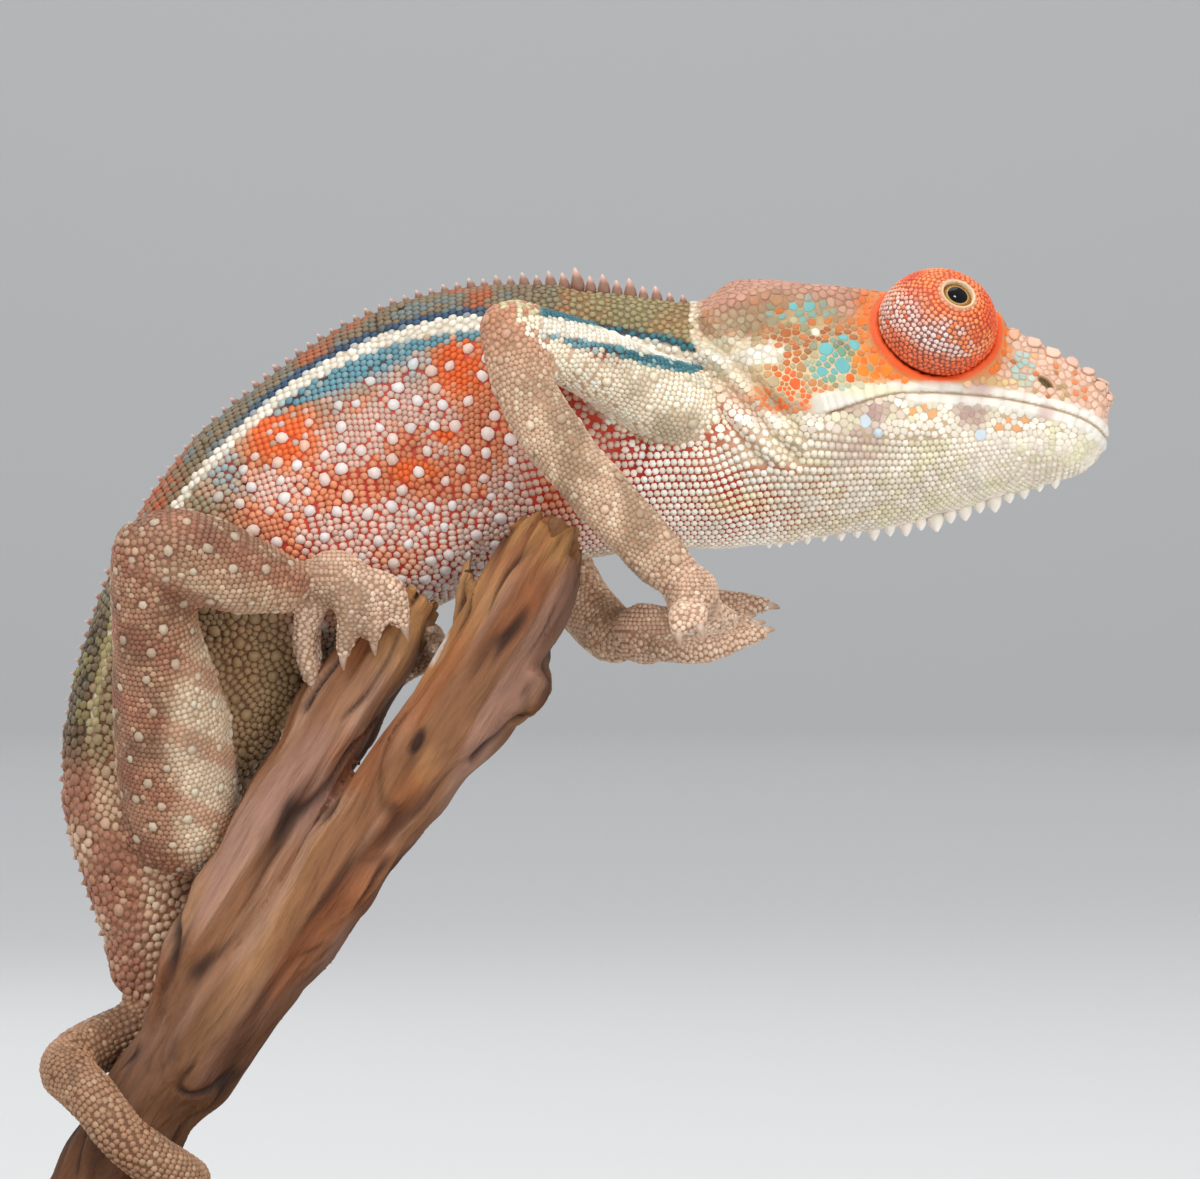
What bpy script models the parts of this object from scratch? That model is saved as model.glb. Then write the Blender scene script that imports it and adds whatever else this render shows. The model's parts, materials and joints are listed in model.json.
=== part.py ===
"""A young male panther chameleon on a cut, forked branch, as a life-size museum model on a plain stand.

Metres, +Z up. +X points to the snout and +Y to the animal's left, so its right side faces -Y. The origin is the
middle of the stand's underside. Every table below is in millimetres and is turned into metres by point().
The body is one run of cross-sections from the snout to the tail's root, parted into head, jaw, neck, trunk and
tail root by thin gaps. Limbs, toes and tail are tubes along smooth paths, cut back where they meet a neighbour.
"""

import math

import bmesh
import bpy
import numpy as np
from mathutils import Matrix, Vector

MM = 0.001
GAP = 0.3  # left between neighbouring solids
HALF_TURN = math.pi

# ---- the stand and the branch -------------------------------------------------------------------------------
BASE_LENGTH, BASE_WIDTH, BASE_HEIGHT = 126.0, 78.0, 8.0
BASE_CORNER, BASE_EDGE = 16.0, 1.5
ROD_RADIUS, ROD_SOCKET = 2.5, 5.0
BRANCH_FOOT = 22.0  # height of the branch's sawn lower end
BRANCH_SIDES = 10

# Each row is x, y, z and radius along the middle of the wood, from the broken tip down.
STEM = (
    (6.4, -12.2, 104.2, 1.6),
    (5.6, -12.3, 102.6, 3.4),
    (2.7, -12.2, 95.5, 4.7),
    (-2.6, -11.8, 86.0, 5.1),
    (-10.2, -10.8, 75.5, 4.6),
    (-17.2, -9.6, 65.5, 4.3),
    (-24.0, -8.4, 57.5, 4.6),
    (-29.6, -7.2, 51.2, 5.4),
    (-34.6, -6.2, 44.5, 5.0),
    (-39.2, -5.2, 37.2, 4.8),
    (-42.8, -4.5, 30.0, 5.0),
    (-44.8, -4.0, BRANCH_FOOT, 5.2),
)
FORK = (
    (-6.2, -7.4, 96.4, 0.9),
    (-8.6, -7.4, 93.6, 2.4),
    (-11.6, -7.4, 90.2, 3.3),
    (-15.6, -7.5, 84.6, 3.6),
    (-21.5, -7.8, 75.0, 3.5),
    (-26.2, -8.0, 66.0, 3.5),
    (-29.6, -7.8, 58.6, 3.9),
    (-31.0, -7.0, 52.0, 4.4),
)
# Torn slivers of wood that stand up beside the fork: root, tip and root radius.
SLIVERS = (
    ((-4.6, -10.4, 90.0), (-2.6, -9.9, 100.2), 0.7),
    ((-2.2, -11.6, 92.0), (-2.9, -11.2, 98.6), 0.6),
    ((-0.6, -12.4, 96.0), (2.2, -13.0, 102.6), 1.2),
    ((-10.2, -9.0, 90.0), (-8.2, -9.2, 96.2), 0.7),
)
KNOT = ((1.6, -12.6, 86.6), 3.6)

# ---- the body -----------------------------------------------------------------------------------------------
BODY_SIDES = 18
# Each row is one cross-section: x and z of the back, x and z of the belly, half the width, how far down from the
# back it is widest (0 to 1), and the powers that peak (over 1) or square (under 1) its upper and lower halves.
BODY = (
    (61.0, 114.2, 60.8, 111.0, 1.6, 0.50, 1.00, 1.00),
    (60.2, 116.5, 59.6, 108.7, 3.9, 0.55, 0.90, 0.95),
    (57.6, 118.2, 57.4, 107.3, 5.2, 0.55, 0.90, 1.00),
    (52.0, 121.4, 52.0, 105.7, 6.6, 0.58, 0.95, 1.05),
    (46.5, 124.0, 46.5, 104.0, 7.6, 0.60, 1.15, 1.10),
    (40.5, 125.8, 41.0, 102.5, 8.6, 0.60, 1.30, 1.10),
    (34.5, 126.3, 35.0, 101.6, 9.8, 0.56, 1.15, 1.10),
    (28.0, 127.1, 29.0, 100.7, 10.3, 0.52, 1.10, 1.10),
    (23.2, 127.0, 25.0, 100.2, 9.7, 0.52, 1.15, 1.10),
    (19.8, 125.0, 21.5, 99.9, 9.0, 0.55, 1.15, 1.10),
    (15.0, 125.2, 16.0, 99.8, 8.8, 0.55, 1.20, 1.05),
    (6.0, 126.5, 6.0, 98.4, 9.3, 0.55, 1.20, 1.00),
    (-4.0, 126.3, -2.5, 95.8, 9.7, 0.56, 1.20, 0.98),
    (-14.0, 123.3, -9.2, 92.6, 9.8, 0.56, 1.20, 0.98),
    (-23.8, 117.0, -14.8, 88.6, 9.5, 0.56, 1.20, 0.98),
    (-32.0, 109.4, -18.4, 84.0, 8.8, 0.56, 1.15, 1.00),
    (-38.5, 99.2, -21.5, 79.6, 8.0, 0.55, 1.10, 1.00),
    (-42.6, 87.2, -25.0, 74.6, 7.2, 0.54, 1.05, 1.00),
    (-43.8, 75.6, -27.8, 67.4, 6.0, 0.53, 1.00, 1.00),
    (-41.2, 65.2, -30.2, 59.2, 4.7, 0.52, 1.00, 1.00),
    (-37.9, 56.3, -31.4, 52.2, 3.6, 0.50, 1.00, 1.00),
)
# Where the body is parted, counted in rows of BODY, and how many rings each length has.
SNOUT, HEAD_BACK, NECK_BACK, TRUNK_BACK, ROOT_BACK = 0, 9, 11, 17, 20
HEAD_RINGS, NECK_RINGS, TRUNK_RINGS, ROOT_RINGS = 14, 4, 12, 6

# The line of the closed mouth and, from its corner, the back edge of the jaw: x and z, snout to throat.
MOUTH = (
    (66.0, 110.6),
    (61.0, 111.9),
    (56.0, 114.0),
    (50.0, 115.1),
    (44.0, 115.7),
    (39.0, 115.7),
    (35.0, 114.9),
    (31.6, 113.9),
    (28.0, 109.0),
    (23.4, 96.0),
)
JAW_SHIFT = 0.14  # each side of the mouth line moves this far up and back, or down and forwards

# Eye turrets: a dome on the line of sight, round a small opening with the eye in it.
TURRET_CENTRE = (43.4, 5.6, 122.2)
TURRET_RADIUS, TURRET_STRETCH = 5.7, 1.08
SIGHT = (0.345, 0.77, 0.535)
LID_RADIUS, LID_DEPTH = 1.75, 0.9
PUPIL_SIDES, TURRET_SIDES = 10, 15

# Crests: small spines along the back and under the jaw.
BACK_SPINES = 38
BACK_FROM, BACK_TO = 9.35, 19.6  # in rows of BODY
BACK_HEIGHTS = ((0.0, 0.9), (0.05, 2.0), (0.12, 1.6), (0.22, 1.0), (0.6, 0.9), (1.0, 0.45))
THROAT_SPINES = 14
THROAT_FROM, THROAT_TO = 3.6, 7.35
THROAT_HEIGHT = 1.25
SPINE_SIDES = 4

# ---- limbs: x, y, z and radius along each bone, for the right side; SIDES turns y round for the left ----------
LIMB_SIDES = 9
UPPER_ARM_RIGHT = ((18.6, -5.6, 113.6, 4.6), (14.5, -9.2, 115.6, 4.2), (8.0, -12.6, 118.8, 3.7), (2.0, -16.0, 121.2, 3.3))
FOREARM_RIGHT = (
    (1.4, -16.8, 121.2, 3.3),
    (2.7, -18.0, 115.6, 3.2),
    (5.6, -19.2, 110.6, 3.2),
    (9.2, -20.4, 106.2, 3.1),
    (13.2, -21.4, 101.8, 3.0),
    (16.4, -22.2, 98.4, 2.9),
)
UPPER_ARM_LEFT = ((17.6, 5.4, 110.6, 4.4), (13.0, 9.4, 108.4, 4.0), (8.6, 12.4, 105.0, 3.6), (5.4, 13.8, 101.6, 3.3))
FOREARM_LEFT = ((5.2, 13.8, 101.0, 3.3), (6.6, 12.2, 97.4, 3.3), (9.0, 9.6, 93.6, 3.2), (11.6, 7.0, 91.2, 3.0))
THIGH_RIGHT = ((-31.6, -4.2, 73.0, 6.0), (-32.2, -8.2, 81.6, 5.9), (-33.2, -12.4, 90.2, 4.7), (-34.2, -16.2, 98.6, 3.8))
SHANK_RIGHT = ((-34.1, -17.0, 99.4, 3.8), (-30.8, -16.8, 99.8, 4.3), (-25.8, -15.6, 97.8, 4.2), (-21.4, -14.4, 96.6, 3.2))
THIGH_LEFT = ((-31.6, 4.2, 73.0, 6.0), (-31.8, 8.6, 81.0, 5.8), (-32.4, 12.8, 89.0, 4.7), (-33.2, 15.8, 97.0, 3.9))
SHANK_LEFT = ((-32.8, 16.4, 97.6, 3.9), (-27.8, 14.6, 95.4, 4.2), (-21.8, 11.0, 91.0, 3.9), (-17.0, 7.2, 87.2, 3.0))

# Feet. Each has a palm (centre, the three half sizes) and two bundles of joined toes. A bundle has the places of
# its root, knuckle and tip, the step from one toe to the next at knuckle and tip, and how many toes it has.
TOE_SIDES, TOE_ROOT, TOE_TIP = 5, 1.5, 1.05
CLAW_LENGTH, CLAW_RADIUS = 1.8, 0.5
FEET = {
    "forefoot_right": {
        "palm": ((18.9, -22.9, 95.4), (2.9, 3.4, 3.2)),
        "bundles": (
            ((18.6, -24.6, 94.2), (18.4, -27.2, 93.4), (18.5, -28.2, 92.4), (1.6, 0.2, 0.2), (1.9, 0.0, 0.5), 2),
            ((19.8, -21.4, 93.8), (21.0, -19.2, 92.8), (21.3, -17.6, 93.0), (1.3, 0.6, 0.3), (1.5, 0.6, 0.4), 3),
        ),
        "curl": (0.3, 0.3, -0.9),
    },
    "forefoot_left": {
        "palm": ((14.6, 4.4, 91.4), (3.6, 3.2, 3.3)),
        "bundles": (
            ((16.2, 2.6, 90.2), (20.6, 1.0, 90.1), (25.2, 1.6, 92.3), (-0.2, 1.5, 0.3), (-0.8, 1.8, 0.6), 3),
            ((16.6, 5.6, 92.8), (21.6, 6.4, 94.8), (25.8, 5.8, 94.3), (0.2, 1.6, 0.2), (-1.6, 1.6, -0.2), 2),
        ),
        "curl": (0.2, -0.5, -0.4),
    },
    "hindfoot_right": {
        "palm": ((-16.0, -12.6, 97.2), (3.6, 3.0, 3.0)),
        "bundles": (
            ((-14.8, -13.4, 96.8), (-12.4, -13.8, 95.4), (-12.2, -12.6, 91.4), (2.2, 0.1, 0.6), (2.9, 0.0, 1.4), 3),
            ((-17.8, -11.6, 95.6), (-18.9, -10.0, 91.4), (-18.2, -9.2, 87.6), (0.5, 1.6, 0.3), (0.5, 1.7, 0.4), 2),
        ),
        "curl": (0.2, 0.4, -0.9),
    },
    "hindfoot_left": {
        "palm": ((-13.2, 1.6, 86.6), (3.4, 3.0, 3.2)),
        "bundles": (
            ((-11.2, 0.4, 87.6), (-6.6, -2.6, 90.4), (-6.6, -7.6, 91.0), (0.7, 0.3, -1.5), (0.5, 0.3, -1.7), 2),
            ((-14.4, -0.4, 85.0), (-18.4, -3.0, 83.2), (-20.0, -7.4, 82.6), (0.8, 0.2, 1.4), (1.0, 0.2, 1.6), 3),
        ),
        "curl": (0.2, -0.6, -0.3),
    },
}

# ---- the tail's coil round the branch: turn in degrees (0 behind, 90 left, 180 in front), height, radius and
# how far it stands off the wood -------------------------------------------------------------------------------
TAIL_SIDES = 8
COIL = (
    (27.0, 54.2, 3.5, 0.3),
    (55.0, 51.6, 3.2, 1.3),
    (92.0, 49.2, 2.9, 3.2),
    (135.0, 46.4, 2.8, 1.4),
    (180.0, 42.0, 2.75, 0.5),
    (235.0, 38.2, 2.7, 1.4),
    (290.0, 35.8, 2.5, 0.8),
    (360.0, 34.2, 2.2, 0.5),
    (450.0, 32.0, 1.8, 0.5),
    (540.0, 29.8, 1.45, 0.5),
    (630.0, 28.0, 1.0, 0.5),
    (680.0, 27.2, 0.55, 0.5),
)
COIL_STEP = 20.0  # degrees from ring to ring

# ---- materials: colour, roughness, metallic -------------------------------------------------------------------
SKIN_FLANK = ((0.72, 0.35, 0.26), 0.6, 0.0)
SKIN_HEAD = ((0.78, 0.66, 0.55), 0.6, 0.0)
SKIN_JAW = ((0.84, 0.80, 0.70), 0.6, 0.0)
SKIN_LIMB = ((0.62, 0.50, 0.42), 0.65, 0.0)
SKIN_TURRET = ((0.85, 0.30, 0.14), 0.5, 0.0)
EYE_DARK = ((0.02, 0.015, 0.01), 0.05, 0.0)
BARK = ((0.36, 0.22, 0.13), 0.85, 0.0)
STAND_WOOD = ((0.10, 0.06, 0.04), 0.4, 0.0)
STEEL = ((0.55, 0.55, 0.56), 0.3, 1.0)


def point(x, y, z):
    return Vector((x, y, z)) * MM


def material(name, look):
    """A plain material with the part's colour, roughness and metallic value, made once."""
    made = bpy.data.materials.get(name)
    if made is None:
        colour, roughness, metallic = look
        made = bpy.data.materials.new(name)
        made.use_nodes = True
        shader = made.node_tree.nodes["Principled BSDF"]
        shader.inputs["Base Color"].default_value = (*colour, 1.0)
        shader.inputs["Roughness"].default_value = roughness
        shader.inputs["Metallic"].default_value = metallic
    return made


def object_from(name, shape, turn_outward=True):
    """Turns a bmesh into an object, with its faces outward."""
    if turn_outward:
        bmesh.ops.recalc_face_normals(shape, faces=shape.faces)
    mesh = bpy.data.meshes.new(name)
    shape.to_mesh(mesh)
    shape.free()
    made = bpy.data.objects.new(name, mesh)
    bpy.context.scene.collection.objects.link(made)
    return made


def finished(made, look_name, look, smooth_under=50):
    """Gives a node its material and smooth shading."""
    made.data.materials.clear()
    made.data.materials.append(material(look_name, look))
    made.data.shade_smooth()
    made.data.set_sharp_from_angle(angle=math.radians(smooth_under))
    return made


def read(rows, at):
    """The rows' values at a place counted in rows, on a smooth curve through all of them."""
    rows = np.asarray(rows, float)
    at = min(max(at, 0.0), len(rows) - 1.0)
    i = min(int(at), len(rows) - 2)
    t = at - i
    before, here, there, after = (rows[min(max(k, 0), len(rows) - 1)] for k in (i - 1, i, i + 1, i + 2))
    bend = 2 * before - 5 * here + 4 * there - after
    return 0.5 * (2 * here + (there - before) * t + bend * t**2 + (3 * (here - there) + after - before) * t**3)


def loft(name, rings):
    """A closed solid through rings of equal count, each end closed by one face."""
    shape = bmesh.new()
    loops = [[shape.verts.new(place) for place in ring] for ring in rings]
    for ring, after in zip(loops, loops[1:]):
        for i in range(len(ring)):
            j = (i + 1) % len(ring)
            shape.faces.new((ring[i], ring[j], after[j], after[i]))
    shape.faces.new(loops[0])
    shape.faces.new(loops[-1])
    return object_from(name, shape)


def joined(made, operation, other, keep_other=False):
    """Applies a Boolean of the other object to this one."""
    step = made.modifiers.new(operation.lower(), "BOOLEAN")
    step.operation = operation
    step.solver = "EXACT"
    step.object = other
    graph = bpy.context.evaluated_depsgraph_get()
    mesh = bpy.data.meshes.new_from_object(made.evaluated_get(graph))
    made.modifiers.clear()
    made.data = mesh
    if not keep_other:
        bpy.data.objects.remove(other)
    return made


def grown(made, by):
    """A copy whose faces lie further out by a number of millimetres, to cut room for this piece in a neighbour."""
    shape = bmesh.new()
    shape.from_mesh(made.data)
    shape.normal_update()
    moves = [(v, v.normal * min(v.calc_shell_factor(), 1.4) * by * MM) for v in shape.verts]
    for v, move in moves:
        v.co += move
    return object_from(made.name + "_room", shape, turn_outward=False)


def cut_clear(made, *neighbours):
    """Cuts this piece back so that it clears its neighbours by the gap."""
    for neighbour in neighbours:
        joined(made, "DIFFERENCE", grown(neighbour, GAP))
    return made


def largest_piece(made):
    """Drops the crumbs that a cut leaves beside the main piece."""
    shape = bmesh.new()
    shape.from_mesh(made.data)
    left, islands = set(shape.verts), []
    while left:
        todo, island = [left.pop()], set()
        while todo:
            v = todo.pop()
            island.add(v)
            near = {e.other_vert(v) for e in v.link_edges} & left
            left -= near
            todo += near
        islands.append(island)
    islands.sort(key=len)
    bmesh.ops.delete(shape, geom=[v for island in islands[:-1] for v in island], context="VERTS")
    shape.to_mesh(made.data)
    shape.free()
    return made


# ---- tubes: limbs, toes, claws, tail and wood -------------------------------------------------------------------


def framed(path):
    """A pair of cross directions for each place on a path, turned as little as possible from one to the next."""
    ahead = [(b - a).normalized() for a, b in zip(path, path[1:])]
    along = [ahead[0], *[(a + b).normalized() for a, b in zip(ahead, ahead[1:])], ahead[-1]]
    side = along[0].orthogonal().normalized()
    frames = []
    for direction in along:
        side = (side - direction * side.dot(direction)).normalized()
        frames.append((side, direction.cross(side)))
    return frames


def tube(name, rows, sides, steps, round_start=True, round_end=True, rough=None):
    """A solid round a smooth path. Rows are x, y, z and radius; a round end is closed by a low dome."""
    values = [read(rows, i * (len(rows) - 1) / steps) for i in range(steps + 1)]
    path = [point(*v[:3]) for v in values]
    radii = [v[3] * MM for v in values]
    dome = ((0.92, 0.38), (0.55, 0.83))  # how far out and how wide, in radii
    if round_start:
        back = (path[0] - path[1]).normalized()
        path = [path[0] + back * radii[0] * out for out, _ in dome] + path
        radii = [radii[0] * wide for _, wide in dome] + radii
    if round_end:
        ahead = (path[-1] - path[-2]).normalized()
        path = path + [path[-1] + ahead * radii[-1] * out for out, _ in reversed(dome)]
        radii = radii + [radii[-1] * wide for _, wide in reversed(dome)]
    rings = []
    for k, (centre, radius, (side, up)) in enumerate(zip(path, radii, framed(path))):
        ring = []
        for i in range(sides):
            turn = 2 * HALF_TURN * i / sides
            reach = radius * (rough(turn, k) if rough else 1.0)
            ring.append(centre + (side * math.cos(turn) + up * math.sin(turn)) * reach)
        rings.append(ring)
    return loft(name, rings)


def bark(turn, k):
    """How far the wood's surface lies from its middle: ridges along it, with lumps that come and go."""
    ridges = 0.06 * math.sin(3 * turn + 0.35 * k) + 0.04 * math.sin(5 * turn - 0.6 * k)
    return 1.0 + ridges + 0.05 * math.sin(1.3 * k + turn)


def ball(name, centre, sizes, sides=8):
    """An ellipsoid with its middle and its three half sizes."""
    shape = bmesh.new()
    bmesh.ops.create_uvsphere(shape, u_segments=sides, v_segments=sides // 2 + 1, radius=1.0)
    scale = Matrix.Diagonal((*(size * MM for size in sizes), 1.0))
    bmesh.ops.transform(shape, matrix=Matrix.Translation(point(*centre)) @ scale, verts=shape.verts)
    return object_from(name, shape)


# ---- the stand and the branch ------------------------------------------------------------------------------------


def stand_base():
    """A flat base with rounded corners, a bevelled upper edge and a blind hole for the rod."""
    half = Vector((BASE_LENGTH / 2 - BASE_CORNER, BASE_WIDTH / 2 - BASE_CORNER))
    shape = bmesh.new()
    outline = []
    for corner, (sx, sy) in enumerate(((1, 1), (-1, 1), (-1, -1), (1, -1))):
        for i in range(6):
            turn = HALF_TURN / 2 * (corner + i / 5)
            x = half.x * sx + BASE_CORNER * math.cos(turn)
            y = half.y * sy + BASE_CORNER * math.sin(turn)
            outline.append(shape.verts.new(point(x, y, 0)))
    floor = shape.faces.new(outline)
    raised = bmesh.ops.extrude_face_region(shape, geom=[floor])["geom"]
    top = [item for item in raised if isinstance(item, bmesh.types.BMVert)]
    bmesh.ops.translate(shape, verts=top, vec=point(0, 0, BASE_HEIGHT))
    rim = [e for e in shape.edges if all(v in top for v in e.verts)]
    bmesh.ops.bevel(shape, geom=rim, offset=BASE_EDGE * MM, segments=2, profile=0.5, affect="EDGES")
    return joined(object_from("stand_base", shape), "DIFFERENCE", rod_hole())


def cylinder(name, radius, low, high):
    """An upright cylinder on the rod's line."""
    foot = STEM[-1]
    shape = bmesh.new()
    place = Matrix.Translation(point(foot[0], foot[1], (low + high) / 2))
    bmesh.ops.create_cone(
        shape, cap_ends=True, segments=16, radius1=radius * MM, radius2=radius * MM,
        depth=(high - low) * MM, matrix=place,
    )
    return object_from(name, shape)


def rod_hole():
    """The room that the rod needs in the base and in the branch."""
    return cylinder("rod_hole", ROD_RADIUS + GAP, BASE_HEIGHT - ROD_SOCKET - GAP, BRANCH_FOOT + ROD_SOCKET + GAP)


def branch():
    """The stem with its fork, torn slivers and one knot, sawn square at the foot and bored for the rod."""
    stem = tube("perch_branch", STEM, BRANCH_SIDES, 17, round_start=False, round_end=False, rough=bark)
    fork = tube("fork", FORK, 8, 9, round_start=False, round_end=True, rough=bark)
    joined(stem, "UNION", fork)
    for i, (root, tip, radius) in enumerate(SLIVERS):
        joined(stem, "UNION", tube(f"sliver{i}", ((*root, radius), (*tip, radius * 0.35)), 5, 3, False, False))
    centre, size = KNOT
    joined(stem, "UNION", ball("knot", centre, (size, size, size)))
    below = ball("saw", (STEM[-1][0], STEM[-1][1], BRANCH_FOOT - 9.0), (12.0, 12.0, 9.0), 24)
    for v in below.data.vertices:
        v.co.z = min(v.co.z, BRANCH_FOOT * MM) if v.co.z < (BRANCH_FOOT - 9.0) * MM else BRANCH_FOOT * MM
    joined(stem, "DIFFERENCE", below)
    return joined(stem, "DIFFERENCE", rod_hole())


# ---- the body ----------------------------------------------------------------------------------------------------


def body_ring(at):
    """The body's cross-section at a place counted in rows of BODY, from the back down the left side and up."""
    back_x, back_z, belly_x, belly_z, half, widest, ridge, keel = read(BODY, at)
    back, belly = point(back_x, 0, back_z), point(belly_x, 0, belly_z)
    ring = []
    for i in range(BODY_SIDES):
        turn = 2 * HALF_TURN * i / BODY_SIDES
        c, s = math.cos(turn), math.sin(turn)
        power, reach = (ridge, widest) if c > 0 else (keel, 1 - widest)
        down = widest - reach * math.copysign(abs(c) ** power, c)
        aside = half * math.copysign(abs(s) ** power, s) * MM
        ring.append(back.lerp(belly, down) + Vector((0, aside, 0)))
    return ring


def body_middle(at):
    back_x, back_z, belly_x, belly_z = read(BODY, at)[:4]
    return point((back_x + belly_x) / 2, 0, (back_z + belly_z) / 2)


def body_length(name, start, end, rings, gap_before=True):
    """One length of the body, between two places counted in rows of BODY."""
    if gap_before:
        start += GAP * MM / (body_middle(start + 0.5) - body_middle(start)).length * 0.5
    return loft(name, [body_ring(start + (end - start) * i / rings) for i in range(rings + 1)])


def spines(made, count, place):
    """Joins small cones to a piece. place(i) gives the foot, the direction and the height of each, or None."""
    for i in range(count):
        found = place(i)
        if found is None:
            continue
        foot, up, height = found
        radius = height * 0.42 + 0.2
        low, tip = foot / MM - up * 0.7, foot / MM + up * height
        rows = ((*low, radius * 1.1), (*tip, radius * 0.16))
        joined(made, "UNION", tube(f"spine{i}", rows, SPINE_SIDES, 1, False, False))
    return made


def back_spine(start, end):
    """The places of the back's spines on one length of the body."""

    def place(i):
        share = i / (BACK_SPINES - 1)
        at = BACK_FROM + (BACK_TO - BACK_FROM) * share
        if not start + 0.06 < at < end - 0.06:
            return None
        row, ahead = read(BODY, at), read(BODY, at + 0.05)
        along = Vector((ahead[0] - row[0], 0, ahead[1] - row[1])).normalized()
        up = Vector((along.z, 0, -along.x))
        if up.dot(Vector((row[0] - row[2], 0, row[1] - row[3]))) < 0:
            up = -up
        height = float(np.interp(share, *zip(*BACK_HEIGHTS)))
        return point(row[0], 0, row[1]), up, height

    return place


def throat_spine(i):
    """The places of the cones under the jaw, tallest in the middle of their row."""
    share = i / (THROAT_SPINES - 1)
    row = read(BODY, THROAT_FROM + (THROAT_TO - THROAT_FROM) * share)
    height = THROAT_HEIGHT * (0.45 + 0.55 * math.sin(HALF_TURN * min(share * 1.25, 1.0))) * (1 - 0.15 * (i % 2))
    return point(row[2], 0, row[3]), Vector((0.12, 0, -1)).normalized(), height


def jaw_room(shift):
    """A slab under the mouth line, moved up and back by a shift, as wide as the head."""
    shape = bmesh.new()
    line = [(x - shift, z + shift) for x, z in MOUTH] + [(30.0, 90.0), (66.0, 90.0)]
    face = shape.faces.new([shape.verts.new(point(x, -20, z)) for x, z in line])
    raised = bmesh.ops.extrude_face_region(shape, geom=[face])["geom"]
    bmesh.ops.translate(
        shape, verts=[item for item in raised if isinstance(item, bmesh.types.BMVert)], vec=point(0, 40, 0)
    )
    return object_from("jaw_room", shape)


def sight(side):
    """The place of a turret's middle and its line of sight; side is 1 for left and -1 for right."""
    x, y, z = TURRET_CENTRE
    return point(x, side * y, z), Vector((SIGHT[0], side * SIGHT[1], SIGHT[2])).normalized()


def turned(name, profile, sides, side):
    """A solid turned about a line of sight. The profile is radius and height, from the back to the front."""
    centre, ahead = sight(side)
    across = ahead.cross(Vector((0, 0, 1))).normalized()
    up = across.cross(ahead)
    rings = []
    for radius, height in profile:
        ring = []
        for i in range(sides):
            turn = 2 * HALF_TURN * i / sides
            out = (across * math.cos(turn) * TURRET_STRETCH + up * math.sin(turn)) * radius
            ring.append(centre + (out + ahead * height) * MM)
        rings.append(ring)
    return loft(name, rings)


def turret(name, side):
    """The scaly cone of lid round an eye, with a shallow round opening."""
    r = TURRET_RADIUS
    dome = [(r * math.sin(a), r * math.cos(a)) for a in np.radians((101, 84, 68, 52, 36))]
    rim = r * 0.985
    lid = [(LID_RADIUS + 0.7, rim - 0.12), (LID_RADIUS + 0.25, rim), (LID_RADIUS, rim - 0.2)]
    floor = [(LID_RADIUS, rim - LID_DEPTH), (0.1, rim - LID_DEPTH)]
    return turned(name, dome + lid + floor, TURRET_SIDES, side)


def eye(name, side):
    """The part of the eyeball that shows in the opening."""
    rim, radius = TURRET_RADIUS * 0.985, LID_RADIUS - GAP
    low = rim - LID_DEPTH + GAP
    profile = [(radius, low), (radius, low + 0.15), (radius * 0.8, low + 0.42), (radius * 0.42, low + 0.6)]
    return turned(name, [*profile, (0.05, low + 0.66)], PUPIL_SIDES, side)


def head_and_jaw():
    """Head, lower jaw and the two eye turrets with their eyes."""
    rooms = []
    for word, side in (("right", -1), ("left", 1)):
        dome = turret(f"eye_turret_{word}", side)
        finished(dome, "skin_turret", SKIN_TURRET)
        finished(eye(f"eye_{word}", side), "eye", EYE_DARK)
        rooms.append(turned("orbit", [(TURRET_RADIUS * s, TURRET_RADIUS * c) for s, c in orbit_profile()], TURRET_SIDES, side))
    head = body_length("head", SNOUT, HEAD_BACK, HEAD_RINGS, gap_before=False)
    jaw = body_length("lower_jaw", SNOUT, HEAD_BACK, HEAD_RINGS, gap_before=False)
    joined(jaw, "INTERSECT", jaw_room(-JAW_SHIFT))
    joined(head, "DIFFERENCE", jaw_room(JAW_SHIFT))
    for room in rooms:
        joined(head, "DIFFERENCE", room)
    spines(jaw, THROAT_SPINES, throat_spine)
    return finished(head, "skin_head", SKIN_HEAD), finished(jaw, "skin_jaw", SKIN_JAW)


def orbit_profile():
    """Sines and cosines of a turret's ball, a gap larger and flat at the back."""
    more = (TURRET_RADIUS + GAP) / TURRET_RADIUS
    turns = np.radians((102, 84, 68, 52, 30, 5))
    return [(math.sin(a) * more, math.cos(a) * more) for a in turns]


def trunk_pieces():
    """Neck, trunk and tail root, with the spines of the back."""
    made = {}
    for name, start, end, rings in (
        ("neck", HEAD_BACK, NECK_BACK, NECK_RINGS),
        ("trunk", NECK_BACK, TRUNK_BACK, TRUNK_RINGS),
        ("tail_root", TRUNK_BACK, ROOT_BACK, ROOT_RINGS),
    ):
        piece = body_length(name, start, end, rings)
        made[name] = spines(piece, BACK_SPINES, back_spine(start, end))
        finished(piece, "skin_flank", SKIN_FLANK)
    return made


# ---- limbs and feet ------------------------------------------------------------------------------------------------


def toe(name, places, radius_scale=1.0):
    """One toe through its root, knuckle and tip."""
    root, knuckle, tip = places
    rows = (
        (*root, TOE_ROOT * radius_scale),
        (*knuckle, (TOE_ROOT + TOE_TIP) / 2 * 1.08),
        (*tip, TOE_TIP),
    )
    rows += ((*Vector(tip) + (Vector(tip) - Vector(knuckle)).normalized() * TOE_TIP * 0.7, TOE_TIP * 0.6),)
    return tube(name, rows, TOE_SIDES, 4, False, False)


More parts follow.
